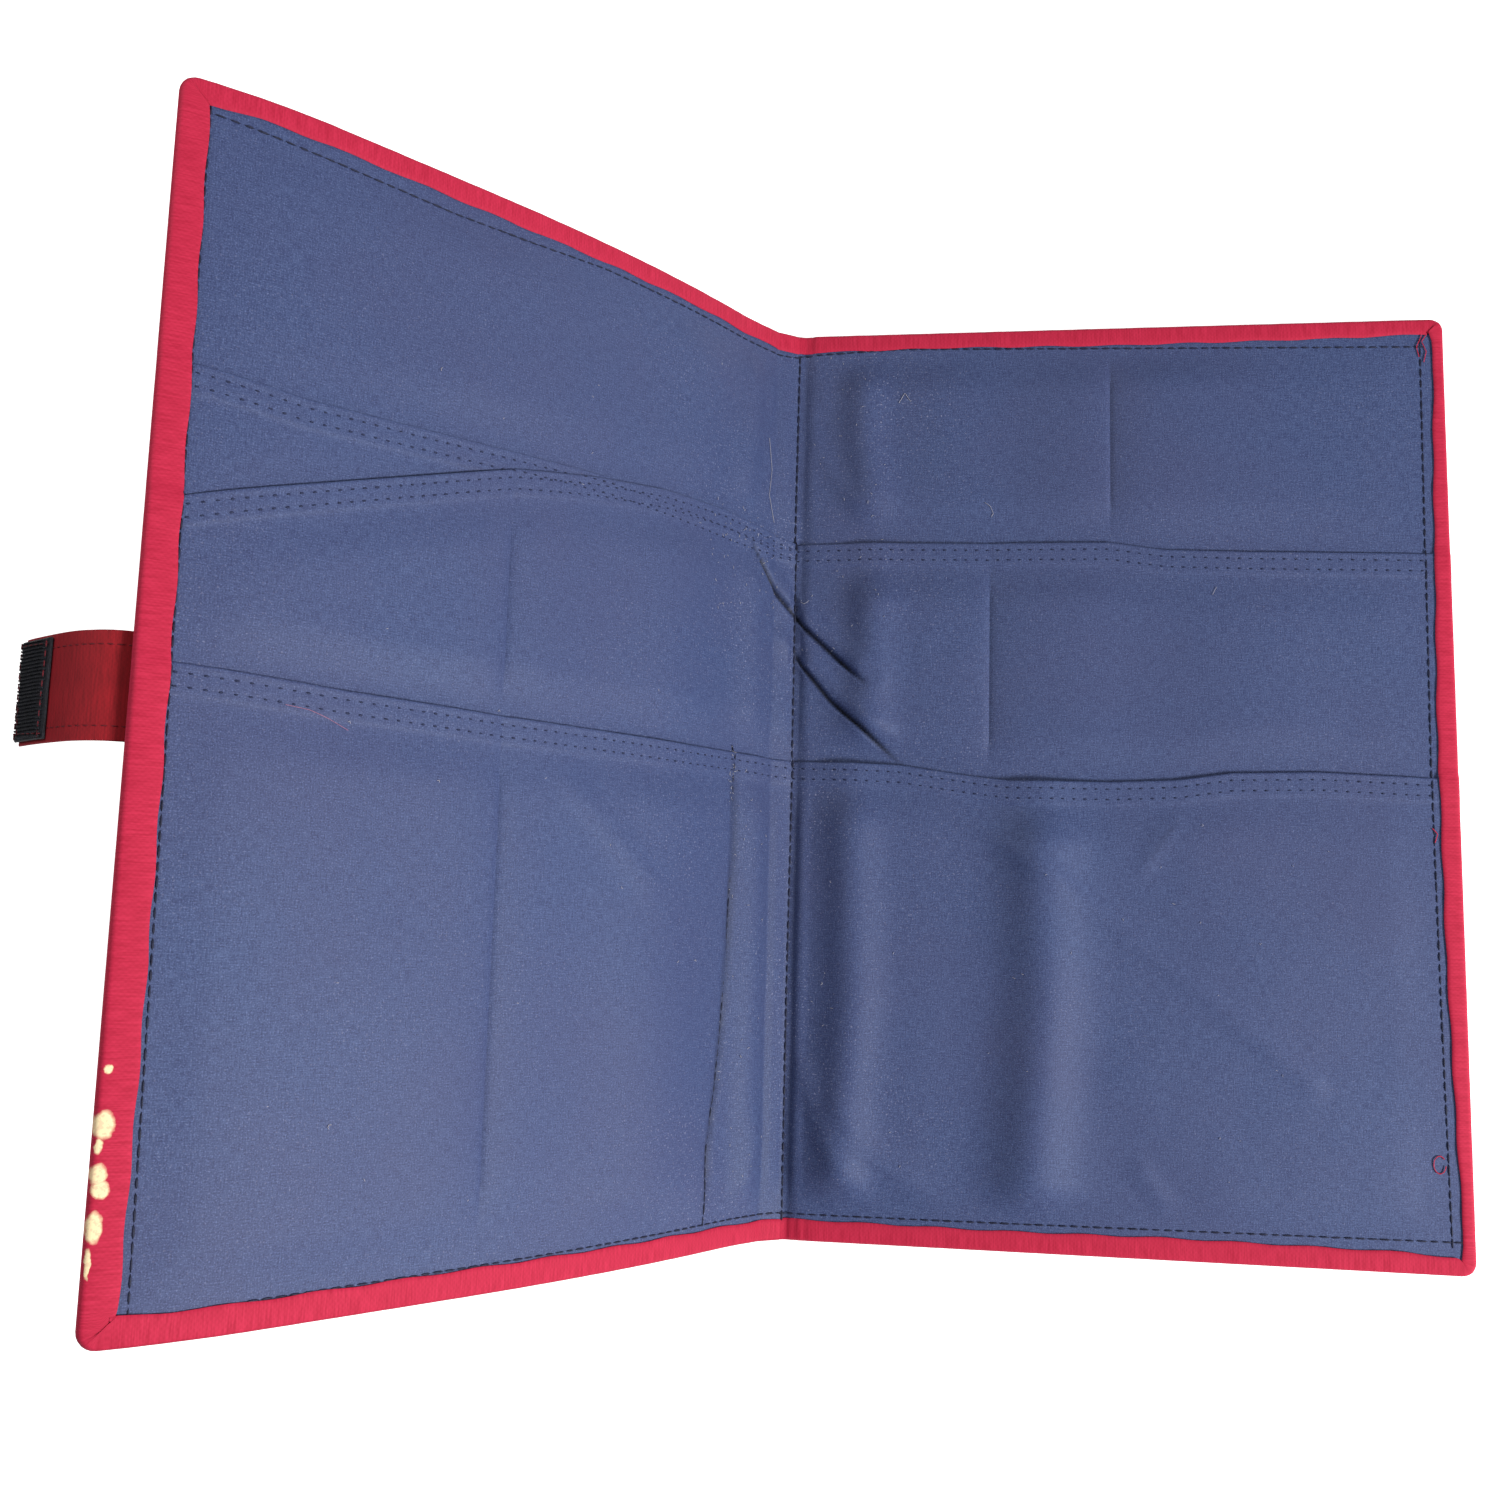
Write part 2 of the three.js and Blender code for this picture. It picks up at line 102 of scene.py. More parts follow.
PROFILE_STEP = 0.1
profile_s = np.arange(FREE_EDGE + 6, -(FREE_EDGE + STRAP_FREE + 6), -PROFILE_STEP)
cover_s = -FOLD - profile_s
slope = np.where(profile_s > FOLD, 0, SPINE_SLOPE)
slope = np.where(cover_s >= 0, along(COVER_SLOPES, cover_s), slope)
slope = np.where(cover_s > COVER_WIDTH, along(STRAP_SLOPES, cover_s - COVER_WIDTH), slope)
kernel = np.hanning(round(FOLD_TURN / PROFILE_STEP) + 2)
slope = np.convolve(np.pad(slope, len(kernel) // 2, mode="edge"), kernel / kernel.sum(), "valid")
profile_slope = np.radians(slope[:len(profile_s)])
profile_x = profile_s[0] - np.cumsum(np.cos(profile_slope)) * PROFILE_STEP
profile_z = np.cumsum(np.sin(profile_slope)) * PROFILE_STEP

hinges = {joint["name"]: joint["pos_m"] for joint in frame["joints"]}
SHIFT_X = hinges["spine_hinge"][0] / MM - FOLD
SHIFT_Z = hinges["spine_hinge"][2] / MM


def place(s, y, h):
    """Points in the model's frame, in metres, for places on the flat pattern."""
    s, y, h = np.broadcast_arrays(np.asarray(s, float), y, h)
    turn = np.interp(-s, -profile_s, profile_slope)
    x = np.interp(-s, -profile_s, profile_x) + h * np.sin(turn) + SHIFT_X
    z = np.interp(-s, -profile_s, profile_z) + h * np.cos(turn) + SHIFT_Z
    return np.stack([x, y - FOLDER_HEIGHT / 2, z], axis=-1) * MM


def normal_at(s):
    turn = np.interp(-np.asarray(s, float), -profile_s, profile_slope)
    return np.stack([np.sin(turn), np.zeros_like(turn), np.cos(turn)], axis=-1)


tip = place(-FREE_EDGE, 0, 0)
print("front cover's free edge at x %.1f, z %.1f mm" % (tip[0] / MM, tip[2] / MM))

# %% [markdown]
# ## Finishes
# Every finish is woven, so each is drawn on a UV map that holds the flat pattern's own s and y
# in metres: the threads then follow the cloth over each fold. Real cotton threads are 0.25 mm
# apart, too fine to show from half a metre away, so the weave is drawn about three times as
# coarse.

# %% Helpers for materials
def linear(code, alpha=1.0):
    """An sRGB hex colour as the linear values that a node wants."""
    parts = [int(code[i:i + 2], 16) / 255 for i in (1, 3, 5)]
    return [c / 12.92 if c <= 0.04045 else ((c + 0.055) / 1.055) ** 2.4 for c in parts] + [alpha]


def add(tree, kind, inputs=None, out=0, **settings):
    """Adds a node with its settings and links, and gives the output that out names or numbers."""
    node = tree.nodes.new(kind)
    for key, value in settings.items():
        setattr(node, key, value)
    for key, value in (inputs or {}).items():
        if isinstance(value, bpy.types.NodeSocket):
            tree.links.new(value, node.inputs[key])
        else:
            node.inputs[key].default_value = value
    return node.outputs[out] if len(node.outputs) else node


def new_material(name):
    material = bpy.data.materials.new(name)
    material.use_nodes = True
    material.node_tree.nodes.clear()
    return material, material.node_tree


def threads(tree, vector, pitch):
    """Height of a weave, 0 to 1, whose threads are pitch metres apart on the flat pattern."""
    parts = add(tree, "ShaderNodeSeparateXYZ", {0: vector}).node.outputs
    waves = []
    for axis in ("X", "Y"):
        angle = add(tree, "ShaderNodeMath", {0: parts[axis], 1: math.pi / pitch}, operation="MULTIPLY")
        waves.append(add(tree, "ShaderNodeMath", {0: angle}, operation="SINE"))
    wave = add(tree, "ShaderNodeMath", {0: waves[0], 1: waves[1]}, operation="MULTIPLY")
    return add(tree, "ShaderNodeMath", {0: wave, 1: 0.5, 2: 0.5}, operation="MULTIPLY_ADD", use_clamp=True)


def yarns(tree, vector, across, lengthways, detail):
    """Uneven yarns both ways: a noise drawn out along the warp, and one along the weft."""
    parts = []
    for stretch in ((across, lengthways, 1), (lengthways, across, 1)):
        drawn_out = add(tree, "ShaderNodeMapping", {0: vector, 3: stretch})
        inputs = {"Vector": drawn_out, "Scale": 1.0, "Detail": detail, "Roughness": 0.55}
        parts.append(add(tree, "ShaderNodeTexNoise", inputs))
    total = add(tree, "ShaderNodeMath", {0: parts[0], 1: parts[1]}, operation="ADD")
    return add(tree, "ShaderNodeMath", {0: total, 1: 0.5}, operation="MULTIPLY")


def patches(tree, vector, noise, levels):
    """Patches from a noise of (scale, detail, roughness), drawn out over (low, high, least, most)."""
    inputs = {"Vector": vector, "Scale": noise[0], "Detail": noise[1], "Roughness": noise[2]}
    height = add(tree, "ShaderNodeTexNoise", inputs)
    return add(tree, "ShaderNodeMapRange", {0: height, **dict(enumerate(levels, 1))})


def layered(tree, base, layers):
    """Lays colours over the base one after another, each by its share from 0 to 1."""
    colour = linear(base)
    for share, code in layers:
        inputs = {"Factor": share, 6: colour, 7: linear(code)}
        colour = add(tree, "ShaderNodeMix", inputs, out=2, data_type="RGBA")
    return colour


def finish_with(tree, colour, height, relief, roughness, sheen=0.0, tint=None, specular=0.3):
    """A Principled surface whose bump comes from height, relief being its depth in metres."""
    bump = add(tree, "ShaderNodeBump", {"Height": height, "Distance": relief, "Strength": 1.0})
    inputs = {"Base Color": colour, "Roughness": roughness, "Normal": bump,
              "Sheen Weight": sheen, "Specular IOR Level": specular}
    if tint:
        inputs["Sheen Tint"] = linear(tint)
    surface = add(tree, "ShaderNodeBsdfPrincipled", inputs)
    add(tree, "ShaderNodeOutputMaterial", {0: surface})


print("white is", [round(part, 2) for part in linear("#ffffff")], "in linear values")

# %% [markdown]
# ### Blue cotton poplin
# Plain-woven dyed cotton: smooth, with a low sheen where it turns from the light, threads of
# slightly different blue, long soft shade differences, and pale dust caught in the weave. Its
# colour is also painted near-black along the deepest wrinkles, as the shade that lies in them.

# %% Cotton
COTTON_PITCH = 0.0008


def cotton():
    material, tree = new_material("blue cotton poplin")
    flat = add(tree, "ShaderNodeUVMap", uv_map="flat")
    weave = threads(tree, flat, COTTON_PITCH)
    yarn = yarns(tree, flat, 2600, 260, 2.0)
    lighter = add(tree, "ShaderNodeMapRange", {0: yarn, 1: 0.4, 2: 0.6})
    purple = patches(tree, flat, (11.0, 4.0, 0.6), (0.35, 0.65, 0.0, 0.4))
    pale_threads = patches(tree, flat, (2300.0, 1.0, 0.5), (0.55, 0.75, 0.0, 0.5))
    pits = patches(tree, flat, (2300.0, 1.0, 0.5), (0.45, 0.28, 0.0, 0.5))
    specks = patches(tree, flat, (1300.0, 1.0, 0.4), (0.64, 0.74, 0.0, 1.0))
    dusty = patches(tree, flat, (18.0, 3.0, 0.55), (0.4, 0.7, 0.2, 0.8))
    from_spine = add(tree, "ShaderNodeMath", {0: add(tree, "ShaderNodeSeparateXYZ", {0: flat})},
                     operation="ABSOLUTE")
    by_spine = add(tree, "ShaderNodeMapRange", {0: from_spine, 1: 0.09, 2: 0.02, 3: 0.35, 4: 1.0})
    dust = add(tree, "ShaderNodeMath", {0: specks, 1: dusty}, operation="MULTIPLY")
    dust = add(tree, "ShaderNodeMath", {0: dust, 1: by_spine}, operation="MULTIPLY")
    # Painted shade: where the fold attribute marks a deep valley, the colour is mixed almost to black
    folded = add(tree, "ShaderNodeAttribute", out="Fac", attribute_name="fold")
    painted_valley_shade = add(tree, "ShaderNodeMath", {0: folded, 1: 0.92}, operation="MULTIPLY")
    colour = layered(tree, "#2d3960", [(lighter, "#425178"), (purple, "#3f4164"), (pale_threads, "#6775a4"),
                                       (pits, "#1a2140"), (dust, "#9596b0"), (painted_valley_shade, "#090c1a")])
    low_weave = add(tree, "ShaderNodeMath", {0: weave, 1: 0.3}, operation="MULTIPLY")
    height = add(tree, "ShaderNodeMath", {0: low_weave, 1: yarn}, operation="ADD")
    finish_with(tree, colour, height, 0.00004, 0.64, 0.1, "#8f9cc8", 0.33)
    return material


blue_cotton = cotton()
print("cotton threads drawn %.1f mm apart" % (COTTON_PITCH / MM))

# %% [markdown]
# ### Red cotton tape
# Binding tape is woven narrow, with fine ribs straight across it. It was splashed with something
# pale near one corner, which soaked in as cream blots, and it is rubbed there.

# %% Tape
RIB_PITCH = 0.0008
STAINS = [(-242.0, 69.6, 1.2, 1.5), (-242.0, 55.6, 2.7, 4.3), (-242.9, 50.4, 1.2, 2.2),
          (-242.4, 43.4, 2.1, 3.2), (-241.6, 39.6, 2.3, 2.6), (-242.4, 30.5, 2.0, 4.8),
          (-243.2, 21.5, 0.7, 4.2)]


def stains(tree):
    """Share of the cream splashes at each place, from their middles and radii on the pattern."""
    spot = add(tree, "ShaderNodeAttribute", out="Vector", attribute_name="pattern")
    inputs = {"Vector": spot, "Scale": 420.0, "Detail": 4.0}
    ragged = add(tree, "ShaderNodeTexNoise", inputs, out="Color")
    ragged = add(tree, "ShaderNodeVectorMath", {0: ragged, 1: (0.5, 0.5, 0.5)}, operation="SUBTRACT")
    ragged = add(tree, "ShaderNodeVectorMath", {0: ragged, "Scale": 0.0016}, operation="SCALE")
    ragged = add(tree, "ShaderNodeVectorMath", {0: spot, 1: ragged})
    total = 0.0
    for s, y, wide, tall in STAINS:
        middle, radii = (s * MM, y * MM, 0.0035), (wide * MM, tall * MM, 0.0045)
        offset = add(tree, "ShaderNodeVectorMath", {0: ragged, 1: middle}, operation="SUBTRACT")
        scaled = add(tree, "ShaderNodeVectorMath", {0: offset, 1: radii}, operation="DIVIDE")
        reach = add(tree, "ShaderNodeVectorMath", {0: scaled}, out="Value", operation="LENGTH")
        stain = add(tree, "ShaderNodeMapRange", {0: reach, 1: 0.8, 2: 1.05, 3: 1.0, 4: 0.0})
        total = add(tree, "ShaderNodeMath", {0: stain, 1: total}, operation="MAXIMUM")
    worn = patches(tree, spot, (900.0, 3.0, 0.55), (0.3, 0.5, 0.35, 1.0))
    worn = add(tree, "ShaderNodeMath", {0: worn, 1: 0.8}, operation="MAXIMUM")
    return add(tree, "ShaderNodeMath", {0: total, 1: worn}, operation="MULTIPLY")


def ribbed(name, dark, light, stained=False):
    material, tree = new_material(name)
    flat = add(tree, "ShaderNodeUVMap", uv_map="flat")
    low_weave = add(tree, "ShaderNodeMath", {0: threads(tree, flat, RIB_PITCH), 1: 0.12},
                    operation="MULTIPLY")
    drawn_out = add(tree, "ShaderNodeMapping", {0: flat, 3: (1800, 160, 1)})
    inputs = {"Vector": drawn_out, "Scale": 1.0, "Detail": 2.0, "Roughness": 0.55}
    long_rib = add(tree, "ShaderNodeTexNoise", inputs)
    rib = add(tree, "ShaderNodeMath", {0: low_weave, 1: long_rib}, operation="ADD")
    layers = [(add(tree, "ShaderNodeMapRange", {0: rib, 1: 0.35, 2: 0.75}), light),
              (patches(tree, flat, (60.0, 4.0, 0.6), (0.3, 0.7, 0.0, 0.3)), dark)]
    if stained:
        layers.append((stains(tree), "#f2dcae"))
    finish_with(tree, layered(tree, dark, layers), rib, 0.00002, 0.75, 0.1, "#ff9db4", 0.25)
    return material


red_tape = ribbed("red cotton tape", "#a51433", "#c12646", stained=True)
# The strap's red is painted darker than the binding's, as painted shade for a strap turned from the lamps
shaded_strap_tape = ribbed("dark red cotton strap", "#780a14", "#98131e")
print("ribs drawn %.1f mm apart, and" % (RIB_PITCH / MM), len(STAINS), "splashes")

# %% [markdown]
# ### Jute hessian, grey board, tapes and thread
# Hessian is a coarse open plain weave of golden-brown jute, with thick and thin places in its
# yarns. The boards are pulp board, seen only if the cloth is taken off. The closing tapes are
# black nylon, and the sewing thread is polyester, dark enough to look black.

# %% Jute, board, nylon and thread
JUTE_PITCH = 0.0016


def hessian():
    material, tree = new_material("jute hessian")
    flat = add(tree, "ShaderNodeUVMap", uv_map="flat")
    slubs = yarns(tree, flat, 420, 30, 3.0)
    weave = threads(tree, flat, JUTE_PITCH)
    pale_yarn = add(tree, "ShaderNodeMapRange", {0: slubs, 1: 0.38, 2: 0.62})
    fibre = patches(tree, flat, (2600.0, 2.0, 0.55), (0.3, 0.7, 0.0, 0.35))
    holes = add(tree, "ShaderNodeMapRange", {0: weave, 1: 0.12, 2: 0.55, 3: 0.75, 4: 0.0})
    colour = layered(tree, "#9c7a45", [(pale_yarn, "#c9a871"), (fibre, "#86663a"), (holes, "#4c371d")])
    low_slubs = add(tree, "ShaderNodeMath", {0: slubs, 1: 0.7}, operation="MULTIPLY")
    height = add(tree, "ShaderNodeMath", {0: weave, 1: low_slubs}, operation="ADD")
    finish_with(tree, colour, height, 0.0005, 0.92, 0.1, "#e8d2a4", 0.2)
    return material


def plain(name, dark, light, grain, relief, roughness, specular=0.3):
    """A finish with one grain: fine unevenness in its colour and its surface."""
    material, tree = new_material(name)
    place_in = add(tree, "ShaderNodeTexCoord", out="Object")
    inputs = {"Vector": place_in, "Scale": grain, "Detail": 3.0, "Roughness": 0.6}
    speck = add(tree, "ShaderNodeTexNoise", inputs)
    lighter = add(tree, "ShaderNodeMapRange", {0: speck, 1: 0.35, 2: 0.65})
    finish_with(tree, layered(tree, dark, [(lighter, light)]), speck, relief, roughness, specular=specular)
    return material


jute_hessian = hessian()
grey_board = plain("grey pulp board", "#7c766b", "#9a9386", 900.0, 0.00005, 0.9)
hook_nylon = plain("black nylon hook tape", "#0c0d12", "#20222b", 1500.0, 0.0002, 0.55)
loop_nylon = plain("black nylon loop tape", "#101015", "#2b2c33", 2200.0, 0.0006, 0.9)
black_thread = plain("black polyester thread", "#0e1122", "#232844", 3000.0, 0.00005, 0.6)
navy_thread = plain("navy polyester thread", "#161c36", "#262e50", 3000.0, 0.00005, 0.6)
dark_red_thread = plain("dark red polyester thread", "#4c0a14", "#6d1220", 3000.0, 0.00005, 0.6)
red_thread = plain("loose red thread", "#8e1530", "#c52a4a", 3000.0, 0.00005, 0.7)
pink_lint = plain("faded pink thread", "#8a5a72", "#a9738a", 3000.0, 0.00003, 0.8)
pale_lint = plain("pale cotton lint", "#8d8d9c", "#b5b0b2", 3000.0, 0.00003, 0.9)
print(len([m for m in bpy.data.materials if m.use_nodes]), "finishes")

# %% [markdown]
# ## Sheets of cloth
# Each sheet is a closed solid over a grid of the flat pattern. Its underside lies on the layers
# below it and its slack lifts it. A grid made in code keeps rows exactly along the hems and
# columns along the pressed folds, which a cloth simulation would round off. A sheet crosses both
# folds of the spine, so it is made in two halves that meet under the spine's stitches.

# %% Edges of the pockets
HEM_DEPTH = 8.7
EDGES = {
    "upper": [(-233, 259.7), (-204, 257.2), (-171, 258.1), (-133, 259.4), (-95, 261.0), (3.5, 258.6),
              (30, 258.7), (77, 258.3), (123, 258.3), (143, 255.4), (174, 254.3), (235, 253.2)],
    "slanted": [(-242, 220.0), (-234, 222.5), (-133, 253.6), (-100, 259.2), (-70, 262.4),
                (-58, 262.8), (-36, 263.7), (-7, 260.8), (4.4, 258.9)],
    "lower": [(-233, 176.1), (-188, 174.4), (-135, 173.8), (-54, 174.2), (-29, 174.8), (3.5, 174.6),
              (46, 173.5), (72, 169.9), (87, 168.1), (124, 168.1), (147, 169.1), (166, 171.9),
              (196, 172.6), (235, 171.0)],
}
ORDER = ["lining", "upper", "slanted", "lower"]
CREASE_HEIGHT = 1.9
POCKET_GAPE = 0.3
CREASES = {"front": -134.0, "pocket": 79.0, "lining": 123.5}


def edge_of(name, s):
    return along(EDGES[name], s)


def layers_below(name, side):
    below = ORDER.index(name)
    return below - 1 if name == "lower" and side > 0 else below


def level(s, below):
    """Height of a sheet's underside: held down by the spine's seam, and up over the boards."""
    on_spine = JUTE + GAP + below * PITCH
    on_board = JUTE + BOARD + 2 * GAP + below * PITCH
    reach = np.where(s > SPINE_SEAM, FOLD + BOARD_SETBACK - SPINE_SEAM, FOLD + BOARD_SETBACK + SPINE_SEAM)
    return on_spine + (on_board - on_spine) * smooth(np.abs(s - SPINE_SEAM), 0.6, reach)

# %% [markdown]
# ### Slack, wrinkles and pressed folds
# Slack cloth stands off in soft folds that run up from the spine, pulls into drag lines, and
# keeps the creases that it was pressed and sold with. Each is a line on the pattern with a width
# and a height. Where a sheet runs under another one it lies flat, so no layer cuts through the
# next.

# %% Lines of slack
SOFT = {
    "lining": [([(30, 345), (31, 300), (36, 262)], 8, 3.8), ([(64, 345), (68, 262)], 16, 1.3),
               ([(-20, 345), (-22, 300), (-26, 262)], 7, 2.4), ([(-52, 345), (-58, 262)], 16, 1.5),
               ([(11, 338), (15, 316)], 3, 0.6), ([(-9, 338), (-11, 312)], 3, 0.6),
               ([(46, 345), (48, 262)], 18, 1.6),
               ([(12, 300), (20, 285), (36, 262)], 3.5, 0.6), ([(150, 340), (170, 262)], 34, 1.2),
               ([(-150, 340), (-140, 262)], 40, 1.2)],
    "upper": [([(35, 262), (35, 215), (33, 172)], 9, 4.2), ([(48, 262), (48, 172)], 17, 1.5),
              ([(112, 256), (112, 172)], 20, 1.2),
              ([(170, 256), (176, 172)], 30, 1.2)],
    "slanted": [([(-20, 268), (-20, 172)], 9, 2.6), ([(-66, 268), (-66, 172)], 24, 2.8),
                ([(-185, 225), (-185, 172)], 34, 1.2)],
    "lower": [([(28, 180), (30, 90), (25, 8)], 10, 5.4), ([(44, 180), (46, 90), (42, 8)], 20, 2.2),
              ([(97, 172), (99, 90), (93, 8)], 13, 5.8), ([(112, 168), (116, 8)], 24, 1.5),
              ([(165, 160), (172, 8)], 36, 1.6), ([(-17, 178), (-17, 8)], 8, 2.8),
              ([(-66, 178), (-70, 90), (-66, 8)], 26, 3.8), ([(-185, 178), (-185, 8)], 38, 1.5),
              ([(12, 60), (22, 34), (40, 10)], 4, 1.0), ([(26, 48), (46, 26), (68, 10)], 5, 0.9),
              ([(-12, 40), (-22, 10)], 4, 0.8), ([(130, 60), (160, 20)], 14, 0.7)],
}
DRAGS = {
    "lining": [([(64.5, 275.3), (92, 273.6), (121.7, 272.9)], 1.2, 0.3),
               ([(44, 322), (60, 306), (67, 290)], 1.8, 0.4), ([(14, 290), (34, 268)], 1.6, 0.45),
               ([(84, 336), (100, 322), (116, 316)], 1.8, 0.3)],
    "upper": [([(-12, 248), (9, 230), (36, 207)], 4.5, 1.7),
              ([(7, 218), (22, 201), (50, 177)], 4.5, 1.7), ([(34, 240), (62, 216)], 6, 0.6)],
    "slanted": [([(-21, 260), (-8, 247), (9, 230)], 4.5, 1.7), ([(-6, 226), (7.7, 212)], 4, 1.2)],
    "lower": [([(58, 164.5), (77, 150), (108, 128.5), (154, 93), (198, 57.5)], 3.6, 0.9),
              ([(151, 162), (131, 132.6)], 2.4, 0.9), ([(128, 36.4), (145.5, 13.1)], 3.2, 0.9),
              ([(144, 167.3), (168, 162.1)], 2.4, 0.7), ([(-117, 164), (-67, 119)], 5.0, 0.8)],
}
# The narrow valley where a wrinkle folds over on itself, or where the lower pocket is seamed,
# throws a black line of shade; the cotton's colour is also painted near-black along these lines
VALLEYS = {
    "upper": [([(-20, 253), (-10.8, 243), (7.3, 227.5), (20, 215.6), (36, 201)], 0.7, 3.4),
              ([(-1, 222), (7.7, 212), (19.4, 198), (50, 171)], 0.7, 3.4)],
    "slanted": [([(-25, 259), (-10.8, 243), (7.3, 227.5), (20, 215.6)], 0.7, 3.4)],
    "lower": [([(-28.6, 180), (-27.9, 139), (-31, 84), (-33.7, 58), (-38, 34), (-38, 8)], 1.6, 1.2),
              ([(150.5, 160), (132, 134)], 0.9, 0.8)],
}


def gap_to(s, y, points):
    """Distance from places on the pattern to a line of points."""
    best = np.full(np.broadcast(s, y).shape, np.inf)
    for (s0, y0), (s1, y1) in zip(points, points[1:]):
        ds, dy = s1 - s0, y1 - y0
        t = np.clip(((s - s0) * ds + (y - y0) * dy) / (ds * ds + dy * dy), 0, 1)
        best = np.minimum(best, np.hypot(s - s0 - t * ds, y - y0 - t * dy))
    return best


def lines_height(lines, s, y, taper=0.0):
    """Height of lines with round sections, falling away over taper mm at their ends."""
    total = np.zeros(np.broadcast(s, y).shape)
    for points, wide, height in lines:
        to_end = np.minimum(*[np.hypot(s - points[i][0], y - points[i][1]) for i in (0, -1)])
        fade = smooth(to_end, 0, taper) if taper else 1
        total += height * fade * np.exp(-(gap_to(s, y, points) / wide) ** 2)
    return total


def wander(s, y, seed, wavelength, height):
    """A gentle unevenness from 0 to height, the same each time for one seed."""
    rng = np.random.default_rng(seed)
    total = np.zeros(np.broadcast(s, y).shape)
    waves = 7
    for _ in range(waves):
        turn, start = rng.uniform(0, 2 * math.pi, 2)
        length = wavelength * rng.uniform(0.7, 1.5)
        total += np.sin(2 * math.pi * (s * math.cos(turn) + y * math.sin(turn)) / length + start)
    return height * (0.5 + 0.5 * total / waves)


def pressed(s, at):
    """A pressed fold: a sharp valley that the cloth rises from on both sides."""
    away = np.abs(s - at)
    shoulders = CREASE_HEIGHT * (1 - np.exp(-away / 8)) * np.exp(-(away / 40) ** 2)
    return shoulders + 0.4 * (1 - np.exp(-(away / 0.9) ** 2)) * np.exp(-(away / 20) ** 2)


# The cloth stands up in a ridge on both sides of the spine's seam
SPINE_RIDGES = (-2.5, 10.2)
RIDGE_WIDTH = 2.4
RIPPLE_HEIGHT = 0.09
RIPPLE_LENGTH = 6.3


def slack(name, side, s, y):
    """How far a sheet stands up from its lowest place."""
    rim = np.minimum(np.minimum(FREE_EDGE - np.abs(s), y), FOLDER_HEIGHT - y)
    loose = smooth(rim, 9.5, 26)
    from_seam = smooth(np.abs(s - SPINE_SEAM), 0.2, 3.0)
    soft = lines_height(SOFT[name], s, y) * smooth(np.abs(s - SPINE_SEAM), 3, 12)
    soft = soft + wander(s, y, 11 + ORDER.index(name), 60, 0.9) + wander(s, y, 31, 18, 0.22)
    drag = lines_height(DRAGS.get(name, []), s, y, 9)
    valley = lines_height(VALLEYS.get(name, []), s, y, 20)
    low_spine = 1 - smooth(y, 150, 172)
    ridges = sum(np.exp(-((s - ridge) / RIDGE_WIDTH) ** 2) for ridge in SPINE_RIDGES)
    ridges = ridges * (0.3 + 0.35 * low_spine)
    if name == "lower":
        step = pressed(s, CREASES["front"]) * smooth(y, 12, 40) if side < 0 else 0
    elif side > 0:
        step = pressed(s, CREASES["pocket" if name == "upper" else "lining"])
    else:
        step = pressed(s, CREASES["front"]) if name == "slanted" else 0
    raised = np.maximum(soft + drag + ridges + step - valley, 0) * from_seam
    phase = 2 * math.pi * (s + y) / RIPPLE_LENGTH + 3 * np.sin(y / 17) + 2 * np.sin(s / 23)
    ripple = RIPPLE_HEIGHT * (1 + np.sin(phase))
    pucker = ripple * np.exp(-((rim - 12) / 5) ** 2)
    gape = 0.0
    if name != "lining":
        drop = np.maximum(edge_of(name, s) - y, 0)
        gape = POCKET_GAPE * np.exp(-(drop / 2.0) ** 2) * smooth(rim, 8, 16) * from_seam
    return (raised * loose + pucker) * shown(name, side, s, y) + gape


def shown(name, side, s, y):
    """1 where a sheet is on view, falling to 0 where it runs under another sheet or at a hem."""
    if name == "lower":
        return 1 - 0.6 * smooth(y - edge_of("lower", s), -HEM_DEPTH - 16, -HEM_DEPTH + 1)
    if name == "lining":
        over = edge_of("upper", s)
        over = np.maximum(over, edge_of("slanted", s)) if side < 0 else over
        return smooth(y - over, 2, 20)
    over = "slanted" if name == "upper" and side < 0 else "lower"
    on_hem = smooth(y - edge_of(name, s), -HEM_DEPTH - 16, -HEM_DEPTH)
    return smooth(y - edge_of(over, s), 2, 18) * (1 - 0.7 * on_hem)


def underside(name, side, s, y):
    on_hem = HEM - CLOTH if side < 0 and name in ("slanted", "lower") else 0
    return level(s, layers_below(name, side)) + on_hem + slack(name, side, s, y)

# %% [markdown]
# ### From a grid to a closed solid
# Two grids of points, the underside and the upper face, are joined round their rim. The upper
# edge of a pocket is rounded, and its hem is twice as thick, pressed down along its two rows of
# stitches.

# %% Build a sheet
HEM_ROWS = [0, 0.25, 0.6, 1.3, 2.0, 2.7, 3.4, 4.6, 5.8, 6.5, 7.2, 8.1, 8.5, 8.9, 9.6, 11.0]
STITCH_ROWS = (2.7, 6.5)


def make_object(name, verts, faces, uv, material, sharp=40):
    """A mesh object; uv is one (u, v) for each vertex, in metres of cloth."""
    mesh = bpy.data.meshes.new(name)
    mesh.from_pydata([tuple(v) for v in verts], [], faces)
    layer = mesh.uv_layers.new(name="flat")
    loops = np.empty(len(mesh.loops), int)
    mesh.loops.foreach_get("vertex_index", loops)
    layer.data.foreach_set("uv", np.asarray(uv)[loops].ravel())
    mesh.polygons.foreach_set("use_smooth", [True] * len(mesh.polygons))
    mesh.set_sharp_from_angle(angle=math.radians(sharp))
    mesh.materials.append(material)
    mesh.validate()
    mesh.update()
    obj = bpy.data.objects.new(name, mesh)
    bpy.context.scene.collection.objects.link(obj)
    return obj


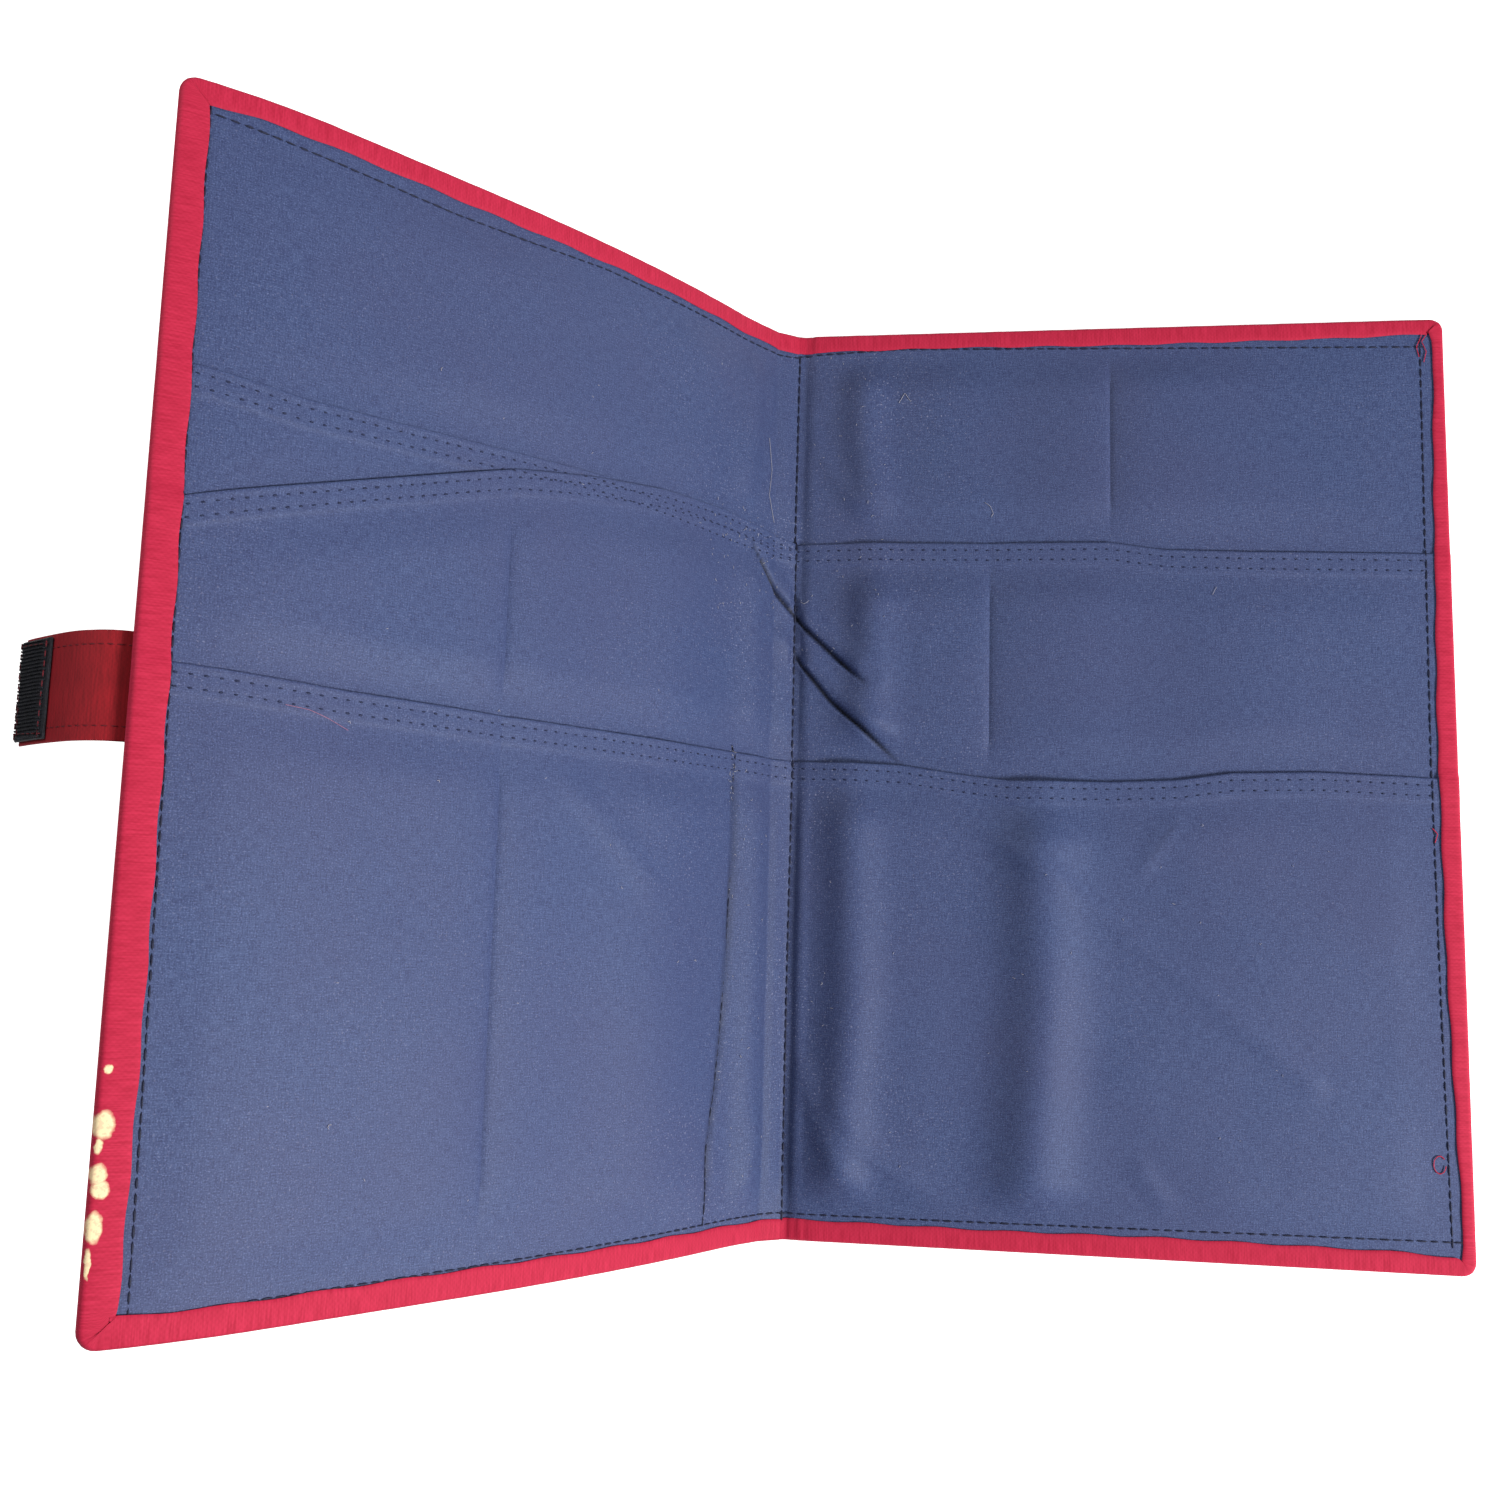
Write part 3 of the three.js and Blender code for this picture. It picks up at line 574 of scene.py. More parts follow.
def grid_solid(name, s, y, low, high, material):
    """A closed solid over grids of s and y, columns first, between heights low and high."""
    wide, tall = s.shape
    verts = np.concatenate([place(s, y, low).reshape(-1, 3), place(s, y, high).reshape(-1, 3)])
    uv = np.tile(np.stack([s, y], -1).reshape(-1, 2) * MM, (2, 1))
    i, j = np.meshgrid(np.arange(wide - 1), np.arange(tall - 1), indexing="ij")
    a = (i * tall + j).ravel()
    b, c, d = a + tall, a + tall + 1, a + 1
    over = wide * tall
    faces = [np.stack([a + over, b + over, c + over, d + over], 1), np.stack([a, d, c, b], 1)]
    for start, step, count, flip in ((0, 1, tall, False), (over - tall, 1, tall, True),
                                     (0, tall, wide, True), (tall - 1, tall, wide, False)):
        line = start + step * np.arange(count)
        quad = [line[:-1], line[:-1] + over, line[1:] + over, line[1:]]
        faces.append(np.stack(quad[::-1] if flip else quad, 1))
    return make_object(name, verts, np.concatenate(faces).tolist(), uv, material)


def columns_for(name, side):
    """Columns of a half, close by the spine, in wrinkles, and at each pressed fold."""
    reach = FREE_EDGE - RIM_MARGIN
    fine_to = 50.4 if name == "upper" and side > 0 else 27.0 if name == "slanted" else 15.0
    near = side * np.arange(side * SPINE_SEAM, fine_to, 0.55 if fine_to > 20 else 0.8)
    far = side * np.arange(fine_to + 1, reach - 1, 2.2)
    lines = [c for c in CREASES.values() if c * side > 0]
    far = [s for s in far if all(abs(s - c) > 1.8 for c in lines)]
    marks = [c + d for c in lines for d in (-1.4, -0.7, 0, 0.7, 1.4)]
    return np.array(sorted([*near, *far, *marks, side * reach]))


def rows_for(name, columns, side):
    """y for each column and row, in rising order, with rows that follow the hem."""
    low = RIM_MARGIN
    if name == "lining":
        top = np.full(columns.shape, FOLDER_HEIGHT - RIM_MARGIN)
        seen, hem = 246.0, [0.0]
    else:
        top = edge_of(name, columns)
        seen, hem = (8.0 if name == "lower" else 158.0), HEM_ROWS
    body_top = top - hem[-1] - (0 if name == "lining" else 2.2)
    reference = np.median(body_top)
    hidden = np.arange(low, seen, 9)
    step = 0.85 if name in ("upper", "slanted") else 2.3
    marks = np.concatenate([hidden, np.arange(max(seen, low + 2), reference - 1, step), [reference]])
    share = np.unique(np.round((marks - low) / (reference - low), 5))
    body = low + np.outer(body_top - low, share)
    if name == "lining":
        return body
    return np.concatenate([body, top[:, None] - np.array(hem[::-1])], axis=1)


def cloth_thickness(name, s, y):
    if name == "lining":
        return np.full(s.shape, CLOTH)
    drop = edge_of(name, s) - y
    thick = CLOTH + (HEM - CLOTH) * (1 - smooth(drop, HEM_DEPTH - 0.7, HEM_DEPTH + 0.7))
    puffed = 0.16 * np.sin(math.pi * np.clip((drop - 2.7) / 3.8, 0, 1)) * (0.6 + 0.4 * np.sin(s / 1.9))
    rounding = np.sqrt(np.clip(1 - ((0.6 - np.minimum(drop, 0.6)) / 0.62) ** 2, 0, 1))
    return (thick + puffed) * np.maximum(rounding, 0.2)


def sheet(name, side, material=blue_cotton):
    columns = columns_for(name, side)
    y = rows_for(name, columns, side)
    s = np.repeat(columns[:, None], y.shape[1], axis=1)
    low = underside(name, side, s, y)
    thick = cloth_thickness(name, s, y)
    full = np.maximum(thick, CLOTH)
    low = low + (full - thick) / 2
    label = {"lining": "lining_cloth", "upper": "upper_pocket_cloth",
             "slanted": "slanted_pocket_cloth", "lower": "lower_pocket_cloth"}[name]
    obj = grid_solid(f"{label}_{'right' if side > 0 else 'left'}", s, y, low, low + thick, material)
    # The valleys are kept as the fold attribute, where the cotton's colour gets painted shade
    folded = np.clip(lines_height(VALLEYS.get(name, []), s, y, 20) / 2.4, 0, 1)
    layer = obj.data.attributes.new("fold", "FLOAT", "POINT")
    layer.data.foreach_set("value", np.tile(folded.ravel(), 2))
    return obj


cloths = {(name, side): sheet(name, side) for side in (1, -1) for name in ORDER
          if not (name == "slanted" and side > 0)}
print(sum(len(o.data.polygons) for o in cloths.values()), "faces in", len(cloths), "halves of cloth")

# %% [markdown]
# ### Jute outer cloth
# It lies flat against the boards, so its grid is coarser. Its weave stands up about half a
# millimetre, mostly drawn by the finish, over a slight unevenness in the mesh.

# %% Jute
def jute_half(side):
    reach = FREE_EDGE - RIM_MARGIN
    columns = np.concatenate([np.arange(SPINE_SEAM, 15, 1.0), np.linspace(16, reach, 76)])
    if side < 0:
        columns = -np.concatenate([np.arange(-SPINE_SEAM, 15, 1.0), np.linspace(16, reach, 76)])[::-1]
    s, y = np.meshgrid(columns, np.linspace(RIM_MARGIN, FOLDER_HEIGHT - RIM_MARGIN, 110), indexing="ij")
    low = wander(s, y, 5, 9, 0.12) * smooth(np.abs(s - SPINE_SEAM), 0, 6)
    return grid_solid("jute_cloth_" + ("right" if side > 0 else "left"), s, y, low,
                      np.full(s.shape, JUTE), jute_hessian)


jutes = {side: jute_half(side) for side in (1, -1)}
print(sum(len(o.data.polygons) for o in jutes.values()), "faces in the jute")

# %% [markdown]
# ## Binding
# One tape is folded over the edge of all layers and mitred at each corner, where its spare width
# makes a diagonal pleat. Here a section of the tape is swept along stations round the rim; the
# inner leg's width wanders as the sewn one does.

# %% Heights at the rim
def stack_top(side, s, y):
    """Top of all layers, wherever they are on the pattern."""
    top = level(s, 0) + CLOTH + slack("lining", side, s, y)
    for name in ORDER[1:]:
        if name == "slanted" and side > 0:
            continue
        drop = edge_of(name, s) - y
        own = level(s, layers_below(name, side)) + slack(name, side, s, y)
        own = own + (HEM - CLOTH if side < 0 and name != "upper" else 0)
        own = own + CLOTH + (HEM - CLOTH) * (1 - smooth(drop, HEM_DEPTH - 0.7, HEM_DEPTH + 0.7))
        top = np.where(drop > 0, np.maximum(top, own), top)
    return top


INNER_WIDTHS = {
    1: [(0, 7.2), (60, 6.6), (120, 7.4), (200, 7.0), (238, 6.2), (262, 4.0), (300, 5.2), (400, 7.2),
        (480, 7.0), (540, 5.6), (575, 4.4), (620, 7.4), (700, 8.0), (760, 7.4), (830, 7.8)],
    -1: [(0, 7.4), (60, 7.2), (140, 8.0), (225, 7.2), (260, 8.2), (330, 8.8), (430, 9.2), (520, 9.4),
         (575, 9.0), (610, 8.2), (700, 8.4), (780, 8.0), (830, 7.6)],
}
OUTER_WIDTH = 9.0
# Where the tape is creased across by the bending spine
TOP_MARKS = (-6.0, 3.2, 9.8)
BOTTOM_MARKS = (3.0, 10.7, 14.3)
EDGE_ROUNDING = 1.5
# The mitre's pleat stands highest this far round each corner
PLEAT_PAST = 3.7

# %% Sweep the tape
def rim_stations(side):
    """Functions that give (s, y) at a distance in from the edge, and the distance walked."""
    stations = []
    far = FREE_EDGE - CORNER_RADIUS - 2

    def top_at(s, up):
        return lambda inset: (s, FOLDER_HEIGHT - inset if up else inset)

    def side_at(y):
        return lambda inset: (side * (FREE_EDGE - inset), y)

    def corner_at(degrees, up):
        angle = math.radians(degrees)

        def at(inset):
            radius = max(CORNER_RADIUS - inset, 0)
            square = max(inset - CORNER_RADIUS, 0)
            s = FREE_EDGE - CORNER_RADIUS - square + radius * math.sin(angle)
            y = CORNER_RADIUS + square - radius * math.cos(angle)
            return side * s, FOLDER_HEIGHT - y if up else y
        return at

    start = SPINE_SEAM
    along_top = [*np.arange(start, 16 * side, 0.9 * side), *np.arange(16.5 * side, far * side, 2.4 * side)]
    for s in along_top:
        stations.append((top_at(s, True), abs(s - start)))
    walked = far
    turn = [0, 15, 30, 45, 60, 75, 90]
    for degrees in turn:
        stations.append((corner_at(degrees, True), walked + CORNER_RADIUS * degrees / 60))
    walked += 10
    for y in np.arange(FOLDER_HEIGHT - CORNER_RADIUS - 4, CORNER_RADIUS + 3, -2.4):
        stations.append((side_at(y), walked + FOLDER_HEIGHT - y))
    walked += FOLDER_HEIGHT
    for degrees in turn[::-1]:
        stations.append((corner_at(degrees, False), walked + CORNER_RADIUS * (90 - degrees) / 60))
    walked += 10
    for s in along_top[::-1]:
        stations.append((top_at(s, False), walked + far - abs(s - start)))
    return stations


def rim_section(top, inner, rise):
    """The tape's section as (distance in from the edge, h), once round."""
    low, high = -GAP - TAPE, top + GAP + TAPE + rise
    middle, half = (low + high) / 2, (high - low) / 2
    arc = [(EDGE_ROUNDING * (1 - math.cos(a)), middle + half * math.sin(a))
           for a in np.radians(np.linspace(-90, 90, 11))]
    outer_leg = [(OUTER_WIDTH, low + 0.1), (OUTER_WIDTH * 0.6, low), (OUTER_WIDTH * 0.3, low)]
    inner_leg = [(inner * 0.35, high + 0.04), (inner * 0.6, high + 0.1), (inner - 1.2, high + 0.12),
                 (inner - 0.3, high), (inner, high - 0.25)]
    inside = [(inner - 0.2, high - TAPE), (1.0, high - TAPE), (1.0, low + TAPE),
              (OUTER_WIDTH - 0.2, low + TAPE)]
    return outer_leg + arc + inner_leg + inside


def binding(side):
    stations = rim_stations(side)
    corner_walks = [FREE_EDGE - CORNER_RADIUS - 2 + PLEAT_PAST, FREE_EDGE + 3 + FOLDER_HEIGHT + PLEAT_PAST]
    verts, uv, pattern = [], [], []
    for at, walked in stations:
        inner = float(along(INNER_WIDTHS[side], walked)) + 0.25 * math.sin(walked / 4.1)
        s0, y0 = at(3.0)
        tops = [float(stack_top(side, *at(d))) for d in (inner, inner + 1.5)]
        past = min((walked - c for c in corner_walks if walked >= c), default=99)
        rise = 0.45 * math.exp(-past / 13) + 0.05 * math.sin(walked / 2.9) + 0.04 * math.sin(walked / 1.7)
        marks = TOP_MARKS if y0 > FOLDER_HEIGHT / 2 else BOTTOM_MARKS
        rise -= 0.4 * sum(math.exp(-((s0 - mark) / 0.9) ** 2) for mark in marks)
        travelled, previous = 0.0, None
        for distance, h in rim_section(max(tops), inner, rise):
            s, y = at(distance)
            verts.append(place(s, y, h))
            travelled += 0 if previous is None else math.dist(previous, (distance, h))
            previous = (distance, h)
            uv.append((walked * MM, travelled * MM))
            pattern.append((s * MM, y * MM, h * MM))
    around = len(verts) // len(stations)
    faces = []
    for i in range(len(stations) - 1):
        for j in range(around):
            a, b = i * around + j, i * around + (j + 1) % around
            quad = [a, b, b + around, a + around]
            faces.append(quad[::-1] if side > 0 else quad)
    caps = [list(range(around)), [(len(stations) - 1) * around + j for j in range(around)]]
    faces += [caps[0], caps[1][::-1]] if side > 0 else [caps[0][::-1], caps[1]]
    obj = make_object("binding_tape_" + ("right" if side > 0 else "left"), verts, faces, uv, red_tape)
    layer = obj.data.attributes.new("pattern", "FLOAT_VECTOR", "POINT")
    layer.data.foreach_set("vector", np.array(pattern).ravel())
    return obj


bindings = {side: binding(side) for side in (1, -1)}
print(sum(len(o.data.polygons) for o in bindings.values()), "faces in the binding")

# %% [markdown]
# ## Strap and closing tapes
# The strap is a double strip of red tape, its colour painted darker than the binding's as shade,
# sewn behind the front cover. Its end carries a patch of hook tape, and the matching loop tape is
# sewn near the back cover's free edge, out of sight.

# %% Strap and tapes
STRAP_MIDDLE = 169.2
STRAP_WIDTH = 30.0
STRAP_SEWN = 25.0
STRAP_THICKNESS = 0.9
STRAP_LOW = -GAP - TAPE - GAP - STRAP_THICKNESS
TAPE_WIDTH = 28.0
HOOK_LENGTH = 16.0
LOOP_LENGTH = 22.0
LOOP_INSET = 11.0
# The strap lies this far below the binding, and stands up from there by at most this much
STRAP_DROP = 0.12
STRAP_BOW = 0.22


def strap_bow(s, y):
    return STRAP_BOW * wander(s, y, 3, 14, 1.0)


def band(name, start, end, width, low, thickness, step, material, rounded=0.45, ragged=0.0):
    """A narrow strip with rounded edges, from start to end along s."""
    s_line = np.linspace(start, end, max(round(abs(end - start) / step), 2) + 1)
    inset = np.concatenate([[0, 0.25, 0.7, 1.4], np.linspace(2.4, width / 2, 7)])
    y_line = np.concatenate([inset, width - inset[-2::-1]]) + STRAP_MIDDLE - width / 2
    s, y = np.meshgrid(s_line, y_line, indexing="ij")
    to_edge = np.minimum(width / 2 - np.abs(y - STRAP_MIDDLE), np.minimum(s - start, end - s) + 0.1)
    full = np.sqrt(np.clip(1 - ((rounded - np.minimum(to_edge, rounded)) / (rounded * 1.02)) ** 2, 0, 1))
    middle = low + thickness / 2 + strap_bow(s, y)
    half = thickness / 2 * np.maximum(full, 0.25)
    s = s + ragged * np.sin(y * 2.1) * np.sin(y * 0.63) * (s < start + step / 2)
    return grid_solid(name, s, y, middle - half, middle + half, material)


strap_end = -(FREE_EDGE + STRAP_FREE)
strap = band("strap_cloth", strap_end, -(FREE_EDGE - STRAP_SEWN), STRAP_WIDTH, STRAP_LOW - STRAP_DROP,
             STRAP_THICKNESS, 1.2, shaded_strap_tape)
hook_low = STRAP_LOW + STRAP_THICKNESS + 0.05
hook_tape = band("hook_tape_base", strap_end - 0.4, strap_end + HOOK_LENGTH, TAPE_WIDTH, hook_low, 1.0,
                 0.8, hook_nylon, ragged=0.6)
loop_end = FREE_EDGE - LOOP_INSET
loop_tape = band("loop_tape_cloth", loop_end - LOOP_LENGTH, loop_end, TAPE_WIDTH, -GAP - 0.85, 0.72, 0.8,
                 loop_nylon)
print("strap %.0f mm past the cover's edge" % STRAP_FREE)

# %% [markdown]
# ## Stitches
# Some two thousand stitches follow the seams, so Geometry Nodes make them: a line becomes a
# curve, points are spaced along it by the stitch length, and one small stitch is set on each
# point, turned along the seam and up from the cloth. The result is made a plain mesh for each
# half of the folder.

# %% A tree for rows of stitches
def group_input(tree, name, kind, value=None):
    socket = tree.interface.new_socket(name=name, in_out="INPUT", socket_type=kind)
    if value is not None:
        socket.default_value = value
    return socket.identifier


def stitch_tree():
    tree = bpy.data.node_groups.new("Row of stitches", "GeometryNodeTree")
    ids = {"line": group_input(tree, "Line", "NodeSocketGeometry"),
           "pitch": group_input(tree, "Stitch pitch", "NodeSocketFloat", 0.0034),
           "length": group_input(tree, "Stitch length", "NodeSocketFloat", 0.0027),
           "width": group_input(tree, "Thread width", "NodeSocketFloat", 0.0005),
           "seed": group_input(tree, "Seed", "NodeSocketInt", 4),
           "thread": group_input(tree, "Thread", "NodeSocketMaterial")}
    tree.interface.new_socket(name="Stitches", in_out="OUTPUT", socket_type="NodeSocketGeometry")
    given = add(tree, "NodeGroupInput").node.outputs
    curve = add(tree, "GeometryNodeMeshToCurve", {0: given["Line"]})
    spaced = add(tree, "GeometryNodeResampleCurve", {"Curve": curve, "Length": given["Stitch pitch"]},
                 mode="LENGTH")
    up = add(tree, "GeometryNodeInputNamedAttribute", {"Name": "up"}, data_type="FLOAT_VECTOR")
    tangent = add(tree, "GeometryNodeInputTangent")
    turned = add(tree, "FunctionNodeAlignRotationToVector", {"Vector": tangent}, axis="X")
    turned = add(tree, "FunctionNodeAlignRotationToVector", {"Rotation": turned, "Vector": up}, axis="Z",
                 pivot_axis="X")
    ball = add(tree, "GeometryNodeMeshUVSphere", {"Segments": 6, "Rings": 5, "Radius": 0.5})
    width = given["Thread width"]
    size = add(tree, "ShaderNodeCombineXYZ", {0: given["Stitch length"], 1: width, 2: width})
    stitch = add(tree, "GeometryNodeTransform", {"Geometry": ball, "Scale": size})
    inputs = {0: (0.8, 0.8, 0.8), 1: (1.12, 1.15, 1.1), "Seed": given["Seed"]}
    varied = add(tree, "FunctionNodeRandomValue", inputs, data_type="FLOAT_VECTOR")
    rows = add(tree, "GeometryNodeInstanceOnPoints",
               {"Points": spaced, "Instance": stitch, "Rotation": turned, "Scale": varied})
    real = add(tree, "GeometryNodeRealizeInstances", {0: rows})
    done = add(tree, "GeometryNodeSetMaterial", {"Geometry": real, "Material": given["Thread"]})
    add(tree, "NodeGroupOutput", {0: done})
    return tree, ids


def made_by(tree, ids, source, name, **values):
    """Runs a tree on an object and keeps the result as a plain mesh."""
    modifier = source.modifiers.new("made", "NODES")
    modifier.node_group = tree
    for key, value in values.items():
        modifier[ids[key]] = value
    bpy.context.view_layer.update()
    graph = bpy.context.evaluated_depsgraph_get()
    mesh = bpy.data.meshes.new_from_object(source.evaluated_get(graph), depsgraph=graph)
    mesh.name = name
    source.modifiers.remove(modifier)
    if "up" in mesh.attributes:
        mesh.attributes.remove(mesh.attributes["up"])
    mesh.polygons.foreach_set("use_smooth", [True] * len(mesh.polygons))
    obj = bpy.data.objects.new(name, mesh)
    bpy.context.scene.collection.objects.link(obj)
    return obj

# %% Where the seams run
SEAMS = {
    -1: [[(3.0, 334.0), (-4, 333.4), (-50, 333.5), (-99, 333.3), (-130, 331.2), (-158.6, 330.3),
          (-209, 331.6), (-237.2, 333.3)],
         [(-236, 334), (-235.6, 260), (-235, 177), (-234, 90), (-233, 4.6)],
         [(-233.4, 6.3), (-203, 8.3), (-120, 9.0), (-73, 9.4), (-33, 9.7), (3.0, 9.8)],
         [(-28.6, 176.7), (-27.9, 139), (-31, 84), (-33.7, 58), (-38, 34), (-38, 11)]],
    1: [[(4.0, 334.5), (44, 336.4), (120, 334.6), (180, 333.2), (235.5, 332)],
        [(236, 338), (235.4, 250), (234.8, 170), (235.4, 90), (236.4, 11)],
        [(238.6, 11.4), (170, 10.8), (118.5, 10.3), (60, 9.8), (4.0, 9.6)],
        [(4.0, 333), (3.8, 250), (4.1, 172), (3.8, 90), (4.0, 9)]],
}
# Kind of seam, stitch pitch, stitch length and thread width in mm, and thread
STITCH_KINDS = [("rim", 4.0, 3.8, 0.7, black_thread), ("hem", 4.0, 1.5, 0.65, navy_thread),
                ("spine", 4.0, 4.1, 0.85, black_thread), ("strap", 2.6, 2.1, 0.4, dark_red_thread),
                ("hooks", 1.0, 0.6, 0.75, hook_nylon)]


def resampled(points, step=1.0):
    points = np.array(points, float)
    walk = np.concatenate([[0], np.cumsum(np.hypot(*np.diff(points, axis=0).T))])
    at = np.linspace(0, walk[-1], max(int(walk[-1] / step), 2))
    return np.interp(at, walk, points[:, 0]), np.interp(at, walk, points[:, 1])


def hem_rows(name, side):
    """Two rows along a hem, as the machine ran them."""
    ends = (SPINE_SEAM + 1.5, 234.5) if side > 0 else (-234.0, 2.0)
    s = np.arange(*ends, 1.0)
    return [(s, edge_of(name, s) - drop) for drop in STITCH_ROWS]


def on_top(side, s, y):
    """The highest cloth at each point, from either half where they meet under the seam."""
    return np.maximum(stack_top(side, s, y), np.where(np.abs(s - SPINE_SEAM) < 1.2, stack_top(-1, s, y), 0))


def strap_lines(kind):
    """Rows along the strap and round its hook tape, or the rows that the hooks stand in."""
    left, right = strap_end + 1.0, strap_end + HOOK_LENGTH - 1.0
    half = TAPE_WIDTH / 2 - 1.4
    bottom, top = STRAP_MIDDLE - half, STRAP_MIDDLE + half
    if kind == "hooks":
        rows = [[(s, bottom - 0.6), (s, top + 0.6)] for s in np.arange(left - 0.2, right + 0.3, 1.15)]
    else:
        rows = [[(right + 1.0, STRAP_MIDDLE + d), (-FREE_EDGE, STRAP_MIDDLE + d)] for d in (-11.0, 11.0)]
        rows += [[(left, bottom), (left, top)], [(left, top), (right, top - 0.5)],
                 [(right, top - 0.5), (right - 0.6, bottom)], [(right, bottom), (left, bottom + 0.7)],
                 [(left + 1.4, bottom + 1), (left + 0.5, top - 9)]]
    found = []
    for row in rows:
        s, y = resampled(row)
        on_strap = row[0][0] > right + 0.5
        over = STRAP_LOW - STRAP_DROP + STRAP_THICKNESS if on_strap else hook_low + 1.0
        lift = 0.32 if kind == "hooks" else 0.05 if on_strap else 0.5
        found.append((s, y, over + strap_bow(s, y) + lift, 1))
    return found


def seam_points(side, kind):
    """Lines of points on top of the cloth, or under the jute, with the way up at each."""
    if kind == "hem":
        rows = [row for name in ORDER[1:] if not (name == "slanted" and side > 0)
                for row in hem_rows(name, side)]
        return [(s, y, stack_top(side, s, y) + 0.02, 1) for s, y in rows]
    if kind in ("strap", "hooks"):
        return strap_lines(kind) if side < 0 else []
    lines = [resampled(line) for line in SEAMS[side]]
    if kind == "spine":
        return [(s, y, on_top(side, s, y) + 0.18, 1) for s, y in lines[3:]] if side > 0 else []
    found = [(s, y, on_top(side, s, y) + 0.1, 1) for s, y in (lines[:3] if side > 0 else lines)]
    for s, y in lines[:3]:
        rim = np.minimum(np.minimum(FREE_EDGE - np.abs(s), y), FOLDER_HEIGHT - y)
        found.append((s, y, np.where(rim < OUTER_WIDTH, -GAP - TAPE - 0.05, -0.05), -1))
    return found


def seam_object(lines):
    verts, edges, ups = [], [], []
    for s, y, h, way in lines:
        start = len(verts)
        verts += place(s, y, h).tolist()
        ups += (normal_at(s) * way).tolist()
        edges += [(start + k, start + k + 1) for k in range(len(s) - 1)]
    mesh = bpy.data.meshes.new("seam lines")
    mesh.from_pydata(verts, edges, [])
    layer = mesh.attributes.new("up", "FLOAT_VECTOR", "POINT")
    layer.data.foreach_set("vector", np.array(ups).ravel())
    obj = bpy.data.objects.new("seam lines", mesh)
    bpy.context.scene.collection.objects.link(obj)
    return obj


tree, ids = stitch_tree()
stitches = {}
for side, label in ((1, "right"), (-1, "left")):
    for kind, pitch, length, width, thread in STITCH_KINDS:
        found = seam_points(side, kind)
        if not found:
            continue
        lines = seam_object(found)
        name = f"{kind}_stitches_{label}"
        stitches[(kind, side)] = made_by(tree, ids, lines, name, pitch=pitch * MM, length=length * MM,
                                         width=width * MM, thread=thread, seed=4 + side)
        bpy.data.objects.remove(lines)
        print(name, len(stitches[(kind, side)].data.polygons), "faces")

# %% [markdown]
# ### Loose threads and lint
# Ends of the red thread were never trimmed, and pale lint clings to the cotton. Each is
# a line that lies on the cloth, made round by a second tree.

# %% Loose threads
def thread_tree():
    tree = bpy.data.node_groups.new("Loose thread", "GeometryNodeTree")
    ids = {"line": group_input(tree, "Line", "NodeSocketGeometry"),
           "radius": group_input(tree, "Thread radius", "NodeSocketFloat", 0.00015),
           "thread": group_input(tree, "Thread", "NodeSocketMaterial")}
    tree.interface.new_socket(name="Threads", in_out="OUTPUT", socket_type="NodeSocketGeometry")
    given = add(tree, "NodeGroupInput").node.outputs
    curve = add(tree, "GeometryNodeMeshToCurve", {0: given["Line"]})
    ring = add(tree, "GeometryNodeCurvePrimitiveCircle",
               {"Resolution": 6, "Radius": given["Thread radius"]})
    tube = add(tree, "GeometryNodeCurveToMesh",
               {"Curve": curve, "Profile Curve": ring, "Fill Caps": True})
    real = add(tree, "GeometryNodeRealizeInstances", {0: tube})
    done = add(tree, "GeometryNodeSetMaterial", {"Geometry": real, "Material": given["Thread"]})
    add(tree, "NodeGroupOutput", {0: done})
    return tree, ids


def loop_round(s0, y0, wide, tall, start=0.0, turn=330.0):
    angles = np.radians(np.arange(start, start + turn, 15))
    return [(s0 + wide * math.cos(a), y0 + tall * math.sin(a)) for a in angles]


def clinging(rng, count, box):
    """Short curled fibres, set at random in a box of the pattern."""
    found = []
    for _ in range(count):
        s0 = rng.uniform(box[0], box[2])
        y0 = rng.uniform(box[1], box[3])
        wide, tall = rng.uniform(0.15, 0.7, 2)
        start = rng.uniform(0, 360)
        found.append(loop_round(s0, y0, wide, tall, start, rng.uniform(60, 200)))
    return found


rng = np.random.default_rng(8)
THREAD_ENDS = [loop_round(233.0, 37.0, 2.0, 3.0, 40),
               [(234.3, 153), (236.0, 151), (235.0, 148)],
               [(236.0, 339), (238.5, 337), (236.5, 334), (238.0, 330), (237.0, 326)],
               [(235.0, 340), (236.4, 336), (234.6, 332), (235.4, 328)]]
LINT_RIGHT = [[(44.0, 313.5), (46.3, 317.5), (48.6, 314.0)],
              [(77, 274), (79, 272.6), (80.2, 270), (79.4, 268.5)],
              [(160, 238), (161.5, 241)],
              [(6, 236), (9, 235), (11, 236.4)]]
LINT_LEFT = [[(-12, 298), (-9.5, 286), (-10.5, 276), (-6, 266)]]
PINK_END = [[(-205, 168), (-198, 167.4), (-192, 165.6), (-186, 163)]]
for count, box in ((40, (6, 215, 40, 335)), (30, (10, 20, 200, 160))):
    LINT_RIGHT += clinging(rng, count, box)
for count, box in ((60, (-46, 225, -5, 268)), (36, (-34, 12, -4, 176)),
                   (26, (-31.5, 156, -28, 177)), (24, (-220, 20, -40, 330))):
    LINT_LEFT += clinging(rng, count, box)
THREAD_RADIUS = 0.17
FIBRE_RADIUS = 0.08
LOOSE = {("red", 1): (red_thread, THREAD_RADIUS, THREAD_ENDS),
         ("lint", 1): (pale_lint, FIBRE_RADIUS, LINT_RIGHT),
         ("lint", -1): (pale_lint, FIBRE_RADIUS, LINT_LEFT),
         ("red", -1): (pink_lint, FIBRE_RADIUS, PINK_END)}
thread_nodes, thread_ids = thread_tree()
loose = []
